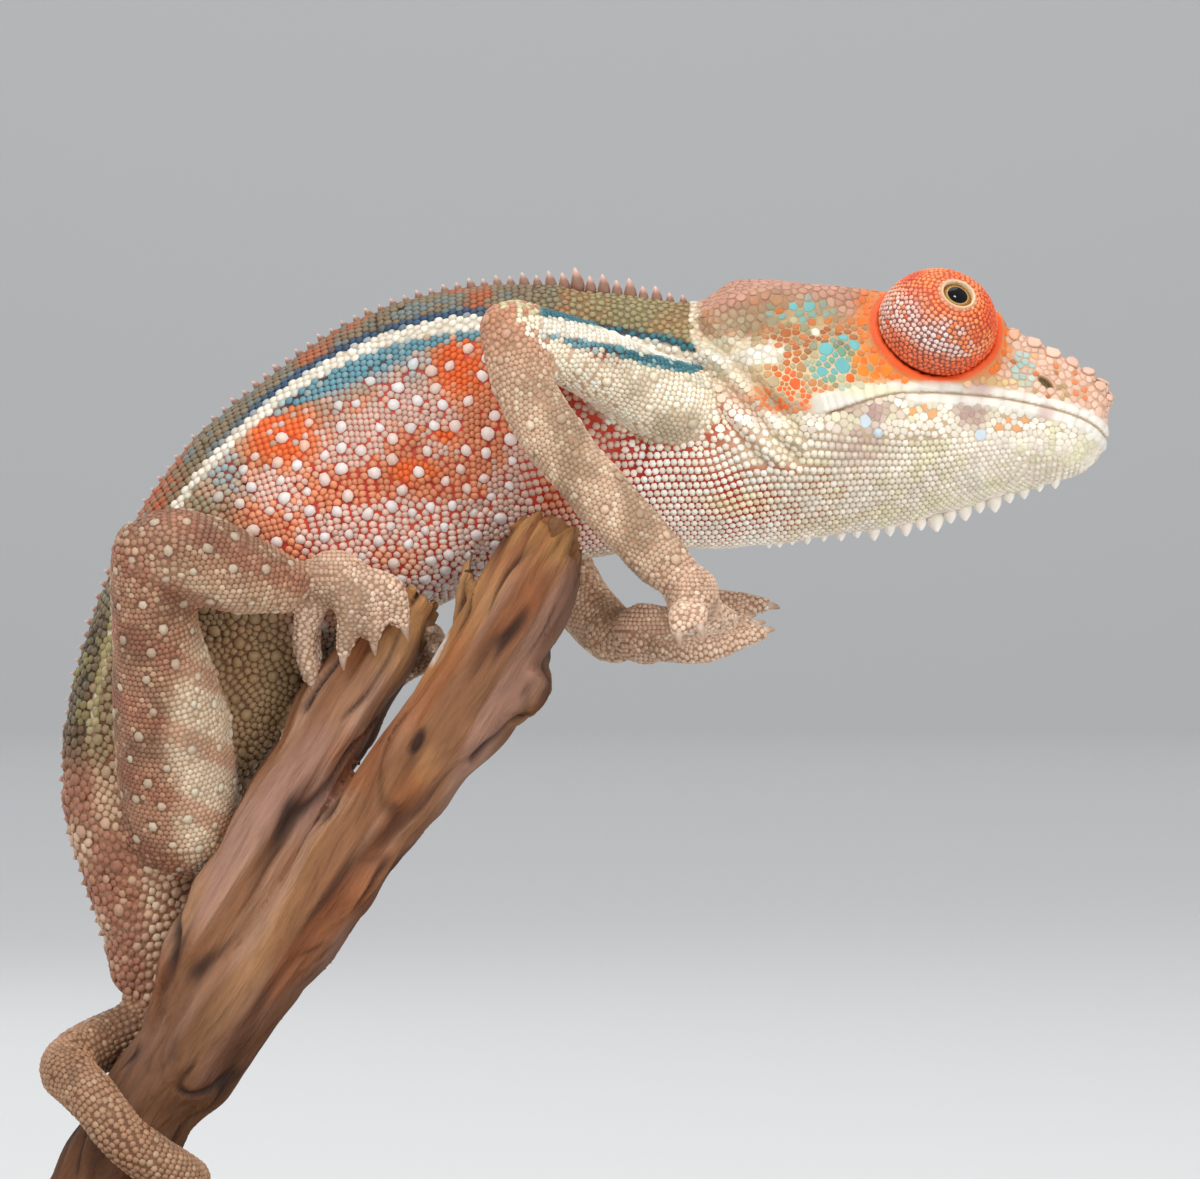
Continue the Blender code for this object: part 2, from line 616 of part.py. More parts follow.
def claw(name, tip, ahead, curl):
    """A short hooked claw at a toe's tip."""
    rows = []
    for share in (-0.3, 0.45, 1.0):
        bend = Vector(curl) * max(share, 0.0) ** 2 * 0.9
        place = Vector(tip) + ahead * (TOE_TIP * 0.6 + share * CLAW_LENGTH) + bend
        rows.append((*place, CLAW_RADIUS * (1.02 - max(share, 0.0) * 0.7)))
    return tube(name, rows, 4, 2, False, False)


def foot(name, plan, leg, neighbours):
    """A palm with two bundles of joined toes and their claws, cut clear of the leg and of what it grips."""
    centre, sizes = plan["palm"]
    made = ball(name, centre, sizes)
    for b, (root, knuckle, tip, knuckle_step, tip_step, count) in enumerate(plan["bundles"]):
        for i in range(count):
            aside = i - (count - 1) / 2
            places = (
                Vector(root) + Vector(knuckle_step) * aside * 0.6,
                Vector(knuckle) + Vector(knuckle_step) * aside,
                Vector(tip) + Vector(tip_step) * aside,
            )
            joined(made, "UNION", toe(f"toe{b}{i}", places))
            ahead = (places[2] - places[1]).normalized()
            joined(made, "UNION", claw(f"claw{b}{i}", places[2], ahead, plan["curl"]))
    cut_clear(made, leg, *neighbours)
    return finished(largest_piece(made), "skin_limb", SKIN_LIMB)


def limbs(body, wood):
    """Four legs of two bones and a foot each."""
    plans = (
        ("foreleg_right", UPPER_ARM_RIGHT, FOREARM_RIGHT, "forefoot_right"),
        ("foreleg_left", UPPER_ARM_LEFT, FOREARM_LEFT, "forefoot_left"),
        ("hindleg_right", THIGH_RIGHT, SHANK_RIGHT, "hindfoot_right"),
        ("hindleg_left", THIGH_LEFT, SHANK_LEFT, "hindfoot_left"),
    )
    for name, upper_rows, lower_rows, foot_name in plans:
        upper = tube(f"{name}_upper", upper_rows, LIMB_SIDES, 6)
        cut_clear(upper, *body, wood)
        lower = tube(f"{name}_lower", lower_rows, LIMB_SIDES, 6)
        cut_clear(lower, upper, *body, wood)
        for piece in (upper, lower):
            finished(largest_piece(piece), "skin_limb", SKIN_LIMB)
        foot(foot_name, FEET[foot_name], lower, (*body, wood))


# ---- the tail --------------------------------------------------------------------------------------------------------


def coil_row(turn):
    """x, y, z and radius of the tail where it has gone a number of degrees round the branch."""
    at = float(np.interp(turn, [row[0] for row in COIL], range(len(COIL))))
    _, height, radius, slack = read(COIL, at)
    falling = list(reversed(STEM))
    x, y, wood = (float(np.interp(height, [row[2] for row in falling], [row[k] for row in falling])) for k in (0, 1, 3))
    reach = wood + radius + slack
    angle = math.radians(turn)
    return x - math.sin(angle) * reach, y + math.cos(angle) * reach, height, radius


def tail(root, wood):
    """The coil in three lengths, from the tail's root to its tip."""
    start, end = COIL[0][0], COIL[-1][0]
    lengths = (("tail_coil_upper", start, 195.0), ("tail_coil_lower", 195.0, 420.0), ("tail_tip", 420.0, end))
    before = root
    for name, low, high in lengths:
        count = max(2, round((high - low) / COIL_STEP))
        rows = [coil_row(low + (high - low) * i / count) for i in range(count + 1)]
        if before is root:
            middle = body_middle(ROOT_BACK) / MM
            rows = [(*middle, COIL[0][2] + 0.1), *rows[1:]]
        piece = tube(name, rows, TAIL_SIDES, len(rows) - 1, round_start=False, round_end=name == "tail_tip")
        cut_clear(piece, before, wood)
        finished(largest_piece(piece), "skin_limb", SKIN_LIMB)
        before = piece


def build():
    for old in list(bpy.data.objects):
        bpy.data.objects.remove(old)
    wood = branch()
    finished(wood, "bark", BARK, smooth_under=40)
    finished(stand_base(), "stand_wood", STAND_WOOD, smooth_under=30)
    rod = cylinder("stand_rod", ROD_RADIUS, BASE_HEIGHT - ROD_SOCKET, BRANCH_FOOT + ROD_SOCKET)
    finished(rod, "steel", STEEL, smooth_under=30)
    front = head_and_jaw()
    body = trunk_pieces()
    for piece in body.values():
        cut_clear(piece, wood)
    limbs((*body.values(), *front), wood)
    tail(body["tail_root"], wood)


build()
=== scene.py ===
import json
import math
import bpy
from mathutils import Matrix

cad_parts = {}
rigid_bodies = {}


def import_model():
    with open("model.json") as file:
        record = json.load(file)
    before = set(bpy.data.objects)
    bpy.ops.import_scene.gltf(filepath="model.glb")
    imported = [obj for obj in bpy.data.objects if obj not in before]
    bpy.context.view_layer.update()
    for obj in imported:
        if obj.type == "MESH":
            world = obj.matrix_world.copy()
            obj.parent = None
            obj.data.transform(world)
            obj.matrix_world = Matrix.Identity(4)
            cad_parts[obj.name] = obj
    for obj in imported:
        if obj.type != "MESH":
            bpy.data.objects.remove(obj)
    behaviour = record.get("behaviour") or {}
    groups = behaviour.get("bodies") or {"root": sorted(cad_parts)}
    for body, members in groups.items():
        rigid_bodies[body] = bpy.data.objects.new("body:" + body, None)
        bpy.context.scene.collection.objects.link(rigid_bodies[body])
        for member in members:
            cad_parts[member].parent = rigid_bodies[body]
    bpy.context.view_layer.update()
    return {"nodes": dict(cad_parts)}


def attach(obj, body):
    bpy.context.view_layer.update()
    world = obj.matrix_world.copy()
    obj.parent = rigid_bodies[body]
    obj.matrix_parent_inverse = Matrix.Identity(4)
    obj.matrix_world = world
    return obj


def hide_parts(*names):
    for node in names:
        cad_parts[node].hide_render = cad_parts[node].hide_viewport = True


bl_info = {
    "name": "Panther chameleon museum model",
    "version": (1, 0, 0),
    "blender": (4, 5, 0),
    "location": "3D View > Sidebar > Chameleon",
    "description": "Builds a life-size young panther chameleon on its branch and stand, lit and in view",
    "category": "Object",
}

import bmesh
import bpy
import numpy as np
from bpy.props import FloatProperty, FloatVectorProperty, IntProperty, PointerProperty
from mathutils import Vector
from mathutils.bvhtree import BVHTree
from mathutils.kdtree import KDTree

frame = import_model()

MM = 0.001
TAU = 2 * math.pi
FLESH = [name for name in frame["nodes"] if not name.startswith(("stand_", "perch_", "eye_"))]

# ---- the animal's form, in millimetres
# One row for each cross-section of the body: x and z of the back, x and z of the belly, half the width, how
# far down it is widest, and the powers that peak or square its upper and lower halves.
BODY = (
    (61.0, 114.2, 60.8, 111.0, 1.6, 0.50, 1.00, 1.00),
    (60.2, 116.5, 59.6, 108.7, 3.9, 0.55, 0.90, 0.95),
    (57.6, 118.2, 57.4, 107.3, 5.2, 0.55, 0.90, 1.00),
    (52.0, 121.4, 52.0, 105.7, 6.6, 0.58, 0.95, 1.05),
    (46.5, 124.0, 46.5, 104.0, 7.6, 0.60, 1.15, 1.10),
    (40.5, 125.8, 41.0, 102.5, 8.6, 0.60, 1.30, 1.10),
    (34.5, 126.3, 35.0, 101.6, 9.8, 0.56, 1.15, 1.10),
    (28.0, 127.1, 29.0, 100.7, 10.3, 0.52, 1.10, 1.10),
    (23.2, 127.0, 25.0, 100.2, 9.7, 0.52, 1.15, 1.10),
    (19.8, 125.0, 21.5, 99.9, 9.0, 0.55, 1.15, 1.10),
    (15.0, 125.2, 16.0, 99.8, 8.8, 0.55, 1.20, 1.05),
    (6.0, 126.5, 6.0, 98.4, 9.3, 0.55, 1.20, 1.00),
    (-4.0, 126.3, -2.5, 95.8, 9.7, 0.56, 1.20, 0.98),
    (-14.0, 123.3, -9.2, 92.6, 9.8, 0.56, 1.20, 0.98),
    (-23.8, 117.0, -14.8, 88.6, 9.5, 0.56, 1.20, 0.98),
    (-32.0, 109.4, -18.4, 84.0, 8.8, 0.56, 1.15, 1.00),
    (-38.5, 99.2, -21.5, 79.6, 8.0, 0.55, 1.10, 1.00),
    (-42.6, 87.2, -25.0, 74.6, 7.2, 0.54, 1.05, 1.00),
    (-43.8, 75.6, -27.8, 67.4, 6.0, 0.53, 1.00, 1.00),
    (-41.2, 65.2, -30.2, 59.2, 4.7, 0.52, 1.00, 1.00),
    (-37.9, 56.3, -31.4, 52.2, 3.6, 0.50, 1.00, 1.00),
)
MOUTH = (
    (61.3, 110.6), (60.4, 111.2), (58.9, 112.4), (56.0, 113.6), (50.5, 114.8), (45.0, 115.35), (39.8, 115.4),
    (36.6, 114.75), (34.0, 113.85), (32.2, 113.35),
)
TURRET_CENTRE = (43.4, 5.6, 122.2)
TURRET_RADIUS, TURRET_STRETCH = 5.7, 1.08
TURRET_SKIN, LID_RIM = TURRET_RADIUS - 0.16, TURRET_RADIUS * 0.962
SIGHT = (0.345, 0.77, 0.535)
NOSTRIL = (54.2, 116.5)
# Limits along the body, counted in rows: the ends of face, neck, throat and flank, and the start of the rump.
FACE_END, NECK_END, THROAT_END, FLANK_END, RUMP_START = 9, 11, 11.3, 16, 17.2
# The crest: its rows, the step from cone to cone, and the cones' height against the share of its length. Then
# the rows and the number of the cones under the jaw.
CREST_ROWS, CREST_STEP = (9.35, 19.6), 1.32
CREST_HEIGHTS = ((0, 0.6), (0.03, 1.5), (0.10, 1.8), (0.15, 1.0), (0.22, 0.6), (0.6, 0.5), (1, 0.3))
JAW_ROWS, JAW_CONES = (2.4, 7.5), 20

# Limbs: x, y, z and radius along each bone.
LIMBS = (
    ("arm", ((18.6, -5.6, 113.6, 4.6), (14.5, -9.2, 115.6, 4.2), (8.0, -12.6, 118.8, 3.7),
             (2.0, -16.0, 121.2, 3.3))),
    ("forearm", ((1.4, -16.8, 121.2, 3.3), (2.7, -18.0, 115.6, 3.2), (5.6, -19.2, 110.6, 3.2),
                 (9.2, -20.4, 106.2, 3.1), (13.2, -21.4, 101.8, 3.0), (16.4, -22.2, 98.4, 2.9))),
    ("arm", ((17.6, 5.4, 110.6, 4.4), (13.0, 9.4, 108.4, 4.0), (8.6, 12.4, 105.0, 3.6),
             (5.4, 13.8, 101.6, 3.3))),
    ("forearm", ((5.2, 13.8, 101.0, 3.3), (6.6, 12.2, 97.4, 3.3), (9.0, 9.6, 93.6, 3.2),
                 (11.6, 7.0, 91.2, 3.0))),
    ("thigh", ((-31.6, -4.2, 73.0, 6.0), (-32.2, -8.2, 81.6, 5.9), (-33.2, -12.4, 90.2, 4.7),
               (-34.2, -16.2, 98.6, 3.8))),
    ("shank", ((-34.1, -17.0, 99.4, 3.8), (-30.8, -16.8, 99.8, 4.3), (-25.8, -15.6, 97.8, 4.2),
               (-21.4, -14.4, 96.6, 3.2))),
    ("thigh", ((-31.6, 4.2, 73.0, 6.0), (-31.8, 8.6, 81.0, 5.8), (-32.4, 12.8, 89.0, 4.7),
               (-33.2, 15.8, 97.0, 3.9))),
    ("shank", ((-32.8, 16.4, 97.6, 3.9), (-27.8, 14.6, 95.4, 4.2), (-21.8, 11.0, 91.0, 3.9),
               (-17.0, 7.2, 87.2, 3.0))),
)
# Feet: the palm's centre and half sizes, then each bundle of toes: root, knuckle, tip, the step from toe to
# toe at knuckle and tip, and the number of toes; last, the way the claws curl.
FEET = (
    (((18.9, -22.9, 95.4), (2.9, 3.4, 3.2)),
     (((18.6, -24.6, 94.2), (18.4, -27.2, 93.4), (18.5, -28.2, 92.4), (1.6, 0.2, 0.2), (1.9, 0.0, 0.5), 2),
      ((19.8, -21.4, 93.8), (21.0, -19.2, 92.8), (21.3, -17.6, 93.0), (1.3, 0.6, 0.3), (1.5, 0.6, 0.4), 3)),
     (0.3, 0.3, -0.9)),
    (((14.6, 4.4, 91.4), (3.6, 3.2, 3.3)),
     (((16.2, 2.6, 90.2), (20.6, 1.0, 90.1), (25.2, 1.6, 92.3), (-0.2, 1.5, 0.3), (-0.8, 1.8, 0.6), 3),
      ((16.6, 5.6, 92.8), (21.6, 6.4, 94.8), (25.8, 5.8, 94.3), (0.2, 1.6, 0.2), (-1.6, 1.6, -0.2), 2)),
     (0.2, -0.5, -0.4)),
    (((-16.0, -12.6, 97.2), (3.6, 3.0, 3.0)),
     (((-14.8, -13.4, 96.8), (-12.4, -13.8, 95.4), (-12.2, -12.6, 91.4), (2.2, 0.1, 0.6), (2.9, 0.0, 1.4), 3),
      ((-17.8, -11.6, 95.6), (-18.9, -10.0, 91.4), (-18.2, -9.2, 87.6), (0.5, 1.6, 0.3), (0.5, 1.7, 0.4), 2)),
     (0.2, 0.4, -0.9)),
    (((-13.2, 1.6, 86.6), (3.4, 3.0, 3.2)),
     (((-11.2, 0.4, 87.6), (-6.6, -2.6, 90.4), (-6.6, -7.6, 91.0), (0.7, 0.3, -1.5), (0.5, 0.3, -1.7), 2),
      ((-14.4, -0.4, 85.0), (-18.4, -3.0, 83.2), (-20.0, -7.4, 82.6), (0.8, 0.2, 1.4), (1.0, 0.2, 1.6), 3)),
     (0.2, -0.6, -0.3)),
)
TOE_ROOT, TOE_TIP = 1.5, 1.05
CLAW_LENGTH, CLAW_RADIUS = 1.3, 0.42

# The tail's coil: degrees round the branch, height, radius and stand-off; and the wood that it goes round.
COIL = (
    (27.0, 54.2, 3.5, 0.3), (55.0, 51.6, 3.2, 1.3), (92.0, 49.2, 2.9, 3.2), (135.0, 46.4, 2.8, 1.4),
    (180.0, 42.0, 2.75, 0.5), (235.0, 38.2, 2.7, 1.4), (290.0, 35.8, 2.5, 0.8), (360.0, 34.2, 2.2, 0.5),
    (450.0, 32.0, 1.8, 0.5), (540.0, 29.8, 1.45, 0.5), (630.0, 28.0, 1.0, 0.5), (680.0, 27.2, 0.55, 0.5),
)
STEM = (
    (6.4, -12.2, 104.2, 1.6), (5.6, -12.3, 102.6, 3.4), (2.7, -12.2, 95.5, 4.7), (-2.6, -11.8, 86.0, 5.1),
    (-10.2, -10.8, 75.5, 4.6), (-17.2, -9.6, 65.5, 4.3), (-24.0, -8.4, 57.5, 4.6), (-29.6, -7.2, 51.2, 5.4),
    (-34.6, -6.2, 44.5, 5.0), (-39.2, -5.2, 37.2, 4.8), (-42.8, -4.5, 30.0, 5.0), (-44.8, -4.0, 22.0, 5.2),
)
FORK = (
    (-6.2, -7.4, 96.4, 0.9), (-8.5, -7.4, 93.6, 2.5), (-11.3, -7.4, 90.2, 3.7), (-15.3, -7.5, 84.6, 4.2),
    (-21.1, -7.8, 75.0, 4.4), (-25.8, -8.0, 66.0, 4.3), (-29.6, -7.8, 58.6, 4.2), (-31.0, -7.0, 52.0, 4.4),
)

# Single plates of the cheek and jaw: x and z, size and colour.
TURQUOISE, PALE_BLUE, OLIVE = (0.42, 0.70, 0.70), (0.79, 0.83, 0.86), (0.70, 0.60, 0.38)
CREAM = (0.86, 0.84, 0.76)
AMBER, RUST, PEACH, SALMON = (0.95, 0.52, 0.12), (0.76, 0.44, 0.20), (0.92, 0.64, 0.42), (0.87, 0.52, 0.31)
FACE_PLATES = (
    (33.9, 118.1, 1.65, TURQUOISE), (32.4, 119.8, 1.5, TURQUOISE), (35.1, 120.2, 1.15, TURQUOISE),
    (31.8, 117.5, 1.15, TURQUOISE), (34.0, 120.9, 0.9, TURQUOISE), (29.2, 124.1, 0.8, TURQUOISE),
    (33.8, 119.5, 0.9, (0.44, 0.62, 0.51)), (32.8, 116.8, 0.8, (0.47, 0.66, 0.55)), (35.9, 117.6, 1.2, AMBER),
    (37.0, 118.7, 1.25, AMBER), (36.2, 119.9, 1.0, AMBER), (38.3, 117.6, 1.15, AMBER),
    (35.2, 118.7, 0.8, AMBER), (37.1, 117.1, 0.9, AMBER), (37.4, 120.2, 0.9, (0.90, 0.36, 0.10)),
    (39.6, 117.2, 0.9, AMBER), (34.7, 116.9, 0.9, (0.88, 0.40, 0.12)), (33.7, 121.9, 1.0, RUST),
    (32.6, 122.6, 0.9, RUST), (30.1, 120.9, 0.9, RUST), (31.3, 121.4, 1.0, CREAM), (32.2, 121.0, 0.75, RUST),
    (29.0, 120.4, 0.8, RUST), (27.6, 120.1, 0.7, RUST), (31.0, 122.5, 0.8, RUST), (34.9, 122.6, 0.8, RUST),
    (29.4, 122.0, 0.75, RUST), (27.8, 123.6, 0.7, RUST), (36.1, 112.5, 1.1, PALE_BLUE),
    (37.4, 111.4, 1.1, PALE_BLUE), (47.7, 111.3, 1.1, PALE_BLUE), (40.9, 113.6, 0.75, PEACH),
    (42.0, 114.0, 0.6, PEACH), (42.9, 113.3, 0.75, PEACH), (49.5, 112.1, 0.75, PEACH),
    (51.2, 111.9, 0.75, PEACH), (52.0, 112.7, 0.65, PEACH), (50.4, 112.7, 0.5, PEACH),
    (57.2, 116.6, 0.58, SALMON), (57.2, 115.5, 0.62, SALMON), (58.1, 115.9, 0.58, SALMON),
    (58.2, 115.0, 0.5, SALMON), (55.3, 117.5, 0.5, RUST), (56.1, 116.2, 0.5, OLIVE),
    (56.3, 115.3, 0.5, OLIVE), (57.2, 117.5, 0.5, SALMON), (55.3, 118.2, 0.5, SALMON),
    (51.0, 118.6, 0.55, RUST), (49.6, 118.6, 0.6, SALMON), (53.2, 117.4, 0.6, RUST),
    (53.2, 119.2, 0.75, (0.87, 0.68, 0.50)), (53.1, 115.6, 0.5, OLIVE), (54.4, 115.1, 0.45, RUST),
    (55.5, 116.0, 0.5, OLIVE), (55.8, 114.9, 0.5, OLIVE),
)
# The branch: the way its fibres run, its broken ends, loose slivers, a knot and a bare patch.
FIBRES = (0.53, 0.06, 0.85)
STUMP, SPLIT = (4.6, -12.2, 101.0), (-8.5, -7.4, 93.6)
SLIVERS = (
    ((-4.6, -10.4, 90.0), (-2.6, -9.9, 100.2), 0.7), ((-2.2, -11.6, 92.0), (-2.9, -11.2, 98.6), 0.6),
    ((-0.6, -12.4, 96.0), (2.2, -13.0, 102.6), 1.2), ((-10.2, -9.0, 90.0), (-8.2, -9.2, 96.2), 0.7),
)
KNOT = ((1.6, -12.6, 86.6), 3.6)
BARE = ((-6.0, -10.5, 90.4), (1.5, 3.6, 3.6))
# Streaks of the wood: colour, shrink along the fibres, size and seed of a noise, its values where they start
# and where they are full, and their strength.
STREAKS = (
    ((0.74, 0.58, 0.48), 0.08, 1.6, 45, 0.42, 0.72, 0.8),
    ((0.66, 0.50, 0.44), 0.25, 3.4, 46, 0.50, 0.75, 0.7),
    ((0.74, 0.55, 0.34), 0.3, 4.2, 51, 0.52, 0.75, 0.7),
    ((0.28, 0.15, 0.08), 0.10, 1.9, 48, 0.55, 0.78, 0.8),
    ((0.60, 0.34, 0.18), 0.4, 4.0, 47, 0.55, 0.8, 0.6),
)

# Lines of the side view, x and z: folds of the neck, each after its width and depth, the pale stripe, and
# ridges of the head.
NECK_FOLDS = (
    (0.55, 0.75, ((14.0, 119.8), (19.7, 118.3), (23.6, 114.8), (27.4, 110.8), (30.3, 108.3))),
    (0.5, 0.6, ((20.7, 120.8), (24.7, 116.8), (27.4, 113.7), (31.2, 109.9))),
    (0.5, 0.5, ((15.9, 118.0), (20.3, 115.0), (23.2, 111.4), (27.4, 107.6))),
    (0.6, 0.5, ((18.8, 123.3), (20.7, 120.8), (22.6, 119.8), (24.3, 121.0), (26.0, 123.5))),
    (0.5, 0.45, ((11.0, 110.4), (13.2, 111.0), (14.2, 109.4), (13.0, 107.0))),
)
STRIPE = (
    (27.4, 119.6), (24.7, 118.9), (21.5, 118.7), (19.0, 118.9), (16.0, 119.65), (10.0, 120.8), (4.0, 121.8),
    (-2.0, 122.4), (-6.6, 121.9), (-10.9, 120.8), (-15.0, 119.2), (-19.9, 116.4), (-24.0, 113.2),
    (-28.4, 108.9), (-32.0, 104.3), (-36.0, 98.0), (-39.0, 90.0), (-40.6, 80.0), (-40.4, 70.0),
)
BROW = ((37.4, 125.6), (33.0, 125.3), (28.5, 125.4), (23.5, 124.6), (20.6, 122.6))
CANTHUS = ((47.6, 123.3), (50.6, 121.7), (54.6, 119.6), (58.4, 117.3), (60.6, 115.0))

# The forms of the flesh.
LABELS = ("body", "arm", "forearm", "thigh", "shank", "foot", "toe", "tail")
LEGS = LABELS[1:5]
# Kinds of scales that are placed on their own, and how many places are tried for beads and for all scales.
BEAD, PLATE = 2, 3
BEAD_TRIES, SCALE_TRIES = 30000, 300000

# The camera, in metres, with its lens in millimetres. Lights: place, what they look at, size, and power as a
# share of the main light's.
CAMERA_X, CAMERA_HEIGHT, CAMERA_DISTANCE, CAMERA_LENS = 0.010, 0.096, 0.6, 180.0
MIDDLE = (0.0, 0.0, 0.1)
LAMPS = {
    "key_light": ((-0.25, -0.55, 0.75), MIDDLE, 0.5, 1.0),
    "fill_light": ((0.55, -0.70, 0.04), MIDDLE, 0.6, 0.82),
    "top_light": ((0.1, 0.15, 0.85), MIDDLE, 0.6, 0.38),
    "back_light": ((-0.5, 0.6, 0.35), MIDDLE, 0.5, 0.25),
    "backdrop_light": ((0.0, 1.6, 2.4), (0.0, 3.4, 0.6), 1.6, 2.6),
    "eye_light": ((0.388, -0.244, 0.689), (0.045, -0.010, 0.125), 0.065, 0.07),
}


# ---- curves, noise and masks


def smooth_rows(rows, at):
    """Values on a smooth curve through the rows, at places counted in rows."""
    rows = np.asarray(rows, float)
    at = np.clip(np.asarray(at, float), 0, len(rows) - 1)
    i = np.minimum(at.astype(int), len(rows) - 2)
    t = (at - i)[..., None]
    a, b, c, d = (rows[np.clip(i + k, 0, len(rows) - 1)] for k in (-1, 0, 1, 2))
    return 0.5 * (2 * b + (c - a) * t + (2 * a - 5 * b + 4 * c - d) * t**2 + (3 * (b - c) + d - a) * t**3)


def noise(points, size, seed=0):
    """Smooth random values from 0 to 1 at points in millimetres; size is the distance between lumps."""
    q = points / size + seed * 17.13
    cell = np.floor(q).astype(np.int64)
    f = q - cell
    f = f * f * (3 - 2 * f)
    total = np.zeros(len(points))
    for corner in range(8):
        step = np.array([(corner >> k) & 1 for k in range(3)])
        h = (cell + step) @ np.array([73856093, 19349663, 83492791]) + seed * 9176
        h = (h ^ (h >> 13)) * 1274126177
        value = ((h ^ (h >> 16)) & 0xFFFF) / 65535.0
        total += value * np.prod(np.where(step, f, 1 - f), axis=1)
    return total


def run_length(path, shrink=1.0):
    """The distance along a path to each of its points; steps are divided by shrink."""
    steps = np.linalg.norm(np.diff(path, axis=0), axis=1) / shrink
    return np.concatenate(((0,), np.cumsum(steps)))


def at_marks(marks, length, path):
    """Points of a path at distances along it."""
    return np.stack([np.interp(marks, length, axis) for axis in path.T], -1)


def near_line(xz, line):
    """Distance from points of the side view to a line, and the share of its length at the nearest place."""
    line = smooth_rows(line, np.linspace(0, len(line) - 1, (len(line) - 1) * 4 + 1))
    best = np.full(len(xz), 1e9)
    share = np.zeros(len(xz))
    for k, (a, b) in enumerate(zip(line, line[1:])):
        ab = b - a
        t = np.clip(((xz - a) @ ab) / (ab @ ab), 0, 1)
        d = np.linalg.norm(xz - a - t[:, None] * ab, axis=1)
        closer = d < best
        best[closer] = d[closer]
        share[closer] = (k + t[closer]) / (len(line) - 1)
    return best, share


def fade(value, low, high):
    """0 below low, 1 above high, smooth between; low may be the greater."""
    t = np.clip((value - low) / (high - low), 0, 1)
    return t * t * (3 - 2 * t)


def blob(xz, x, z, wide, tall, soft, strength=1.0):
    """A soft oval mask in the side view."""
    r = np.hypot((xz[:, 0] - x) / wide, (xz[:, 1] - z) / tall)
    return fade(r, 1 + soft, 1 - soft) * strength


def blobs(xz, *ovals):
    """A mask of several soft ovals."""
    return np.maximum.reduce([blob(xz, *oval) for oval in ovals])


def apart(points, middle, sizes=1.0):
    """Distances from a place, counted in sizes along each axis."""
    return np.linalg.norm((points - middle) / sizes, axis=1)


def on(label, *names):
    """Mask of the places that belong to the named forms."""
    return np.isin(label, [LABELS.index(name) for name in names])


def mix(colour, other, mask):
    """Colours on the way from one to the other, as far as the mask says."""
    colour = np.asarray(colour, float)
    return colour + (np.asarray(other, float) - colour) * mask[:, None]


def warmed(colour):
    """Gives the darker browns and pinks more warmth, and leaves pale and blue colours as they are."""
    brown = (1 - colour @ (0.3, 0.6, 0.1)) * fade(colour[:, 0] - colour[:, 2], 0.0, 0.08)
    return np.clip(colour * (1 - brown[:, None] * (0.0, 0.14, 0.38)), 0, 1)


def linear(colour):
    """Turns screen colours into linear ones."""
    colour = np.clip(colour, 0, 1)
    return np.where(colour <= 0.04045, colour / 12.92, ((colour + 0.055) / 1.055) ** 2.4)


# ---- meshes


def deselect():
    for other in bpy.context.view_layer.objects.selected:
        other.select_set(False)


def only(piece):
    """Makes this the one selected and active object."""
    deselect()
    piece.select_set(True)
    bpy.context.view_layer.objects.active = piece
    return piece


def edit(piece, action="DESELECT"):
    """Opens a piece in edit mode with nothing or everything selected and returns its bmesh."""
    only(piece)
    bpy.ops.object.mode_set(mode="EDIT")
    bpy.ops.mesh.select_all(action=action)
    return bmesh.from_edit_mesh(piece.data)


def close(piece):
    bpy.ops.object.mode_set(mode="OBJECT")
    return piece


def pick_faces(piece, test):
    """Selects, in edit mode, the faces whose middles pass a test of points in millimetres."""
    shape = bmesh.from_edit_mesh(piece.data)
    middle = np.array([face.calc_center_median()[:] for face in shape.faces]) / MM
    for face, wanted in zip(shape.faces, test(middle).tolist()):
        face.select = wanted
    shape.select_flush_mode()
    bmesh.update_edit_mesh(piece.data)


def settle(piece):
    """Leaves a piece at the origin, unturned and unscaled, with its place in its mesh."""
    only(piece)
    bpy.ops.object.transform_apply(location=True, rotation=True, scale=True)


def outward(piece):
    """Turns every face of a piece outwards."""
    edit(piece, "SELECT")
    bpy.ops.mesh.normals_make_consistent(inside=False)
    return close(piece)


def applied(piece, kind, **settings):
    """Gives a piece a modifier and applies it."""
    change = only(piece).modifiers.new(kind.title(), kind)
    for key, value in settings.items():
        setattr(change, key, value)
    bpy.ops.object.modifier_apply(modifier=change.name)


def linked(name, mesh):
    """A new object of a mesh, in the scene."""
    piece = bpy.data.objects.new(name, mesh)
    bpy.context.scene.collection.objects.link(piece)
    return piece


def mesh_piece(name, points, faces, edges=()):
    """A smooth object from points in millimetres and faces of any size."""
    mesh = bpy.data.meshes.new(name)
    mesh.from_pydata((np.asarray(points) * MM).tolist(), edges, faces)
    mesh.update()
    mesh.shade_smooth()
    return linked(name, mesh)


def fused(name, shapes, size, rounds):
    """Joins closed shapes, given as rings, into one piece without seams, and softens it."""
    made = [mesh_piece(name, rings.reshape(-1, 3), ring_faces(*rings.shape[:2])) for rings in shapes]
    deselect()
    for piece in made:
        piece.select_set(True)
    bpy.context.view_layer.objects.active = made[0]
    bpy.ops.object.join()
    piece = outward(bpy.context.active_object)
    applied(piece, "REMESH", mode="VOXEL", voxel_size=size)
    applied(piece, "SMOOTH", factor=0.5, iterations=rounds)
    return piece


def ring_faces(rings, sides):
    """Quads between rings of equal count, and the two end caps."""
    i = np.arange(rings - 1)[:, None] * sides
    j = np.arange(sides)[None]
    k = (j + 1) % sides
    quads = np.stack((i + j, i + k, i + sides + k, i + sides + j), -1).reshape(-1, 4)
    return quads.tolist() + [list(range(sides))[::-1], list(range((rings - 1) * sides, rings * sides))]


def values(items, key, width=1, kind=np.float32):
    """One property of many parts of a mesh, as an array with a row for each."""
    data = np.empty(len(items) * width, kind)
    items.foreach_get(key, data)
    return data.reshape(-1, width) if width > 1 else data


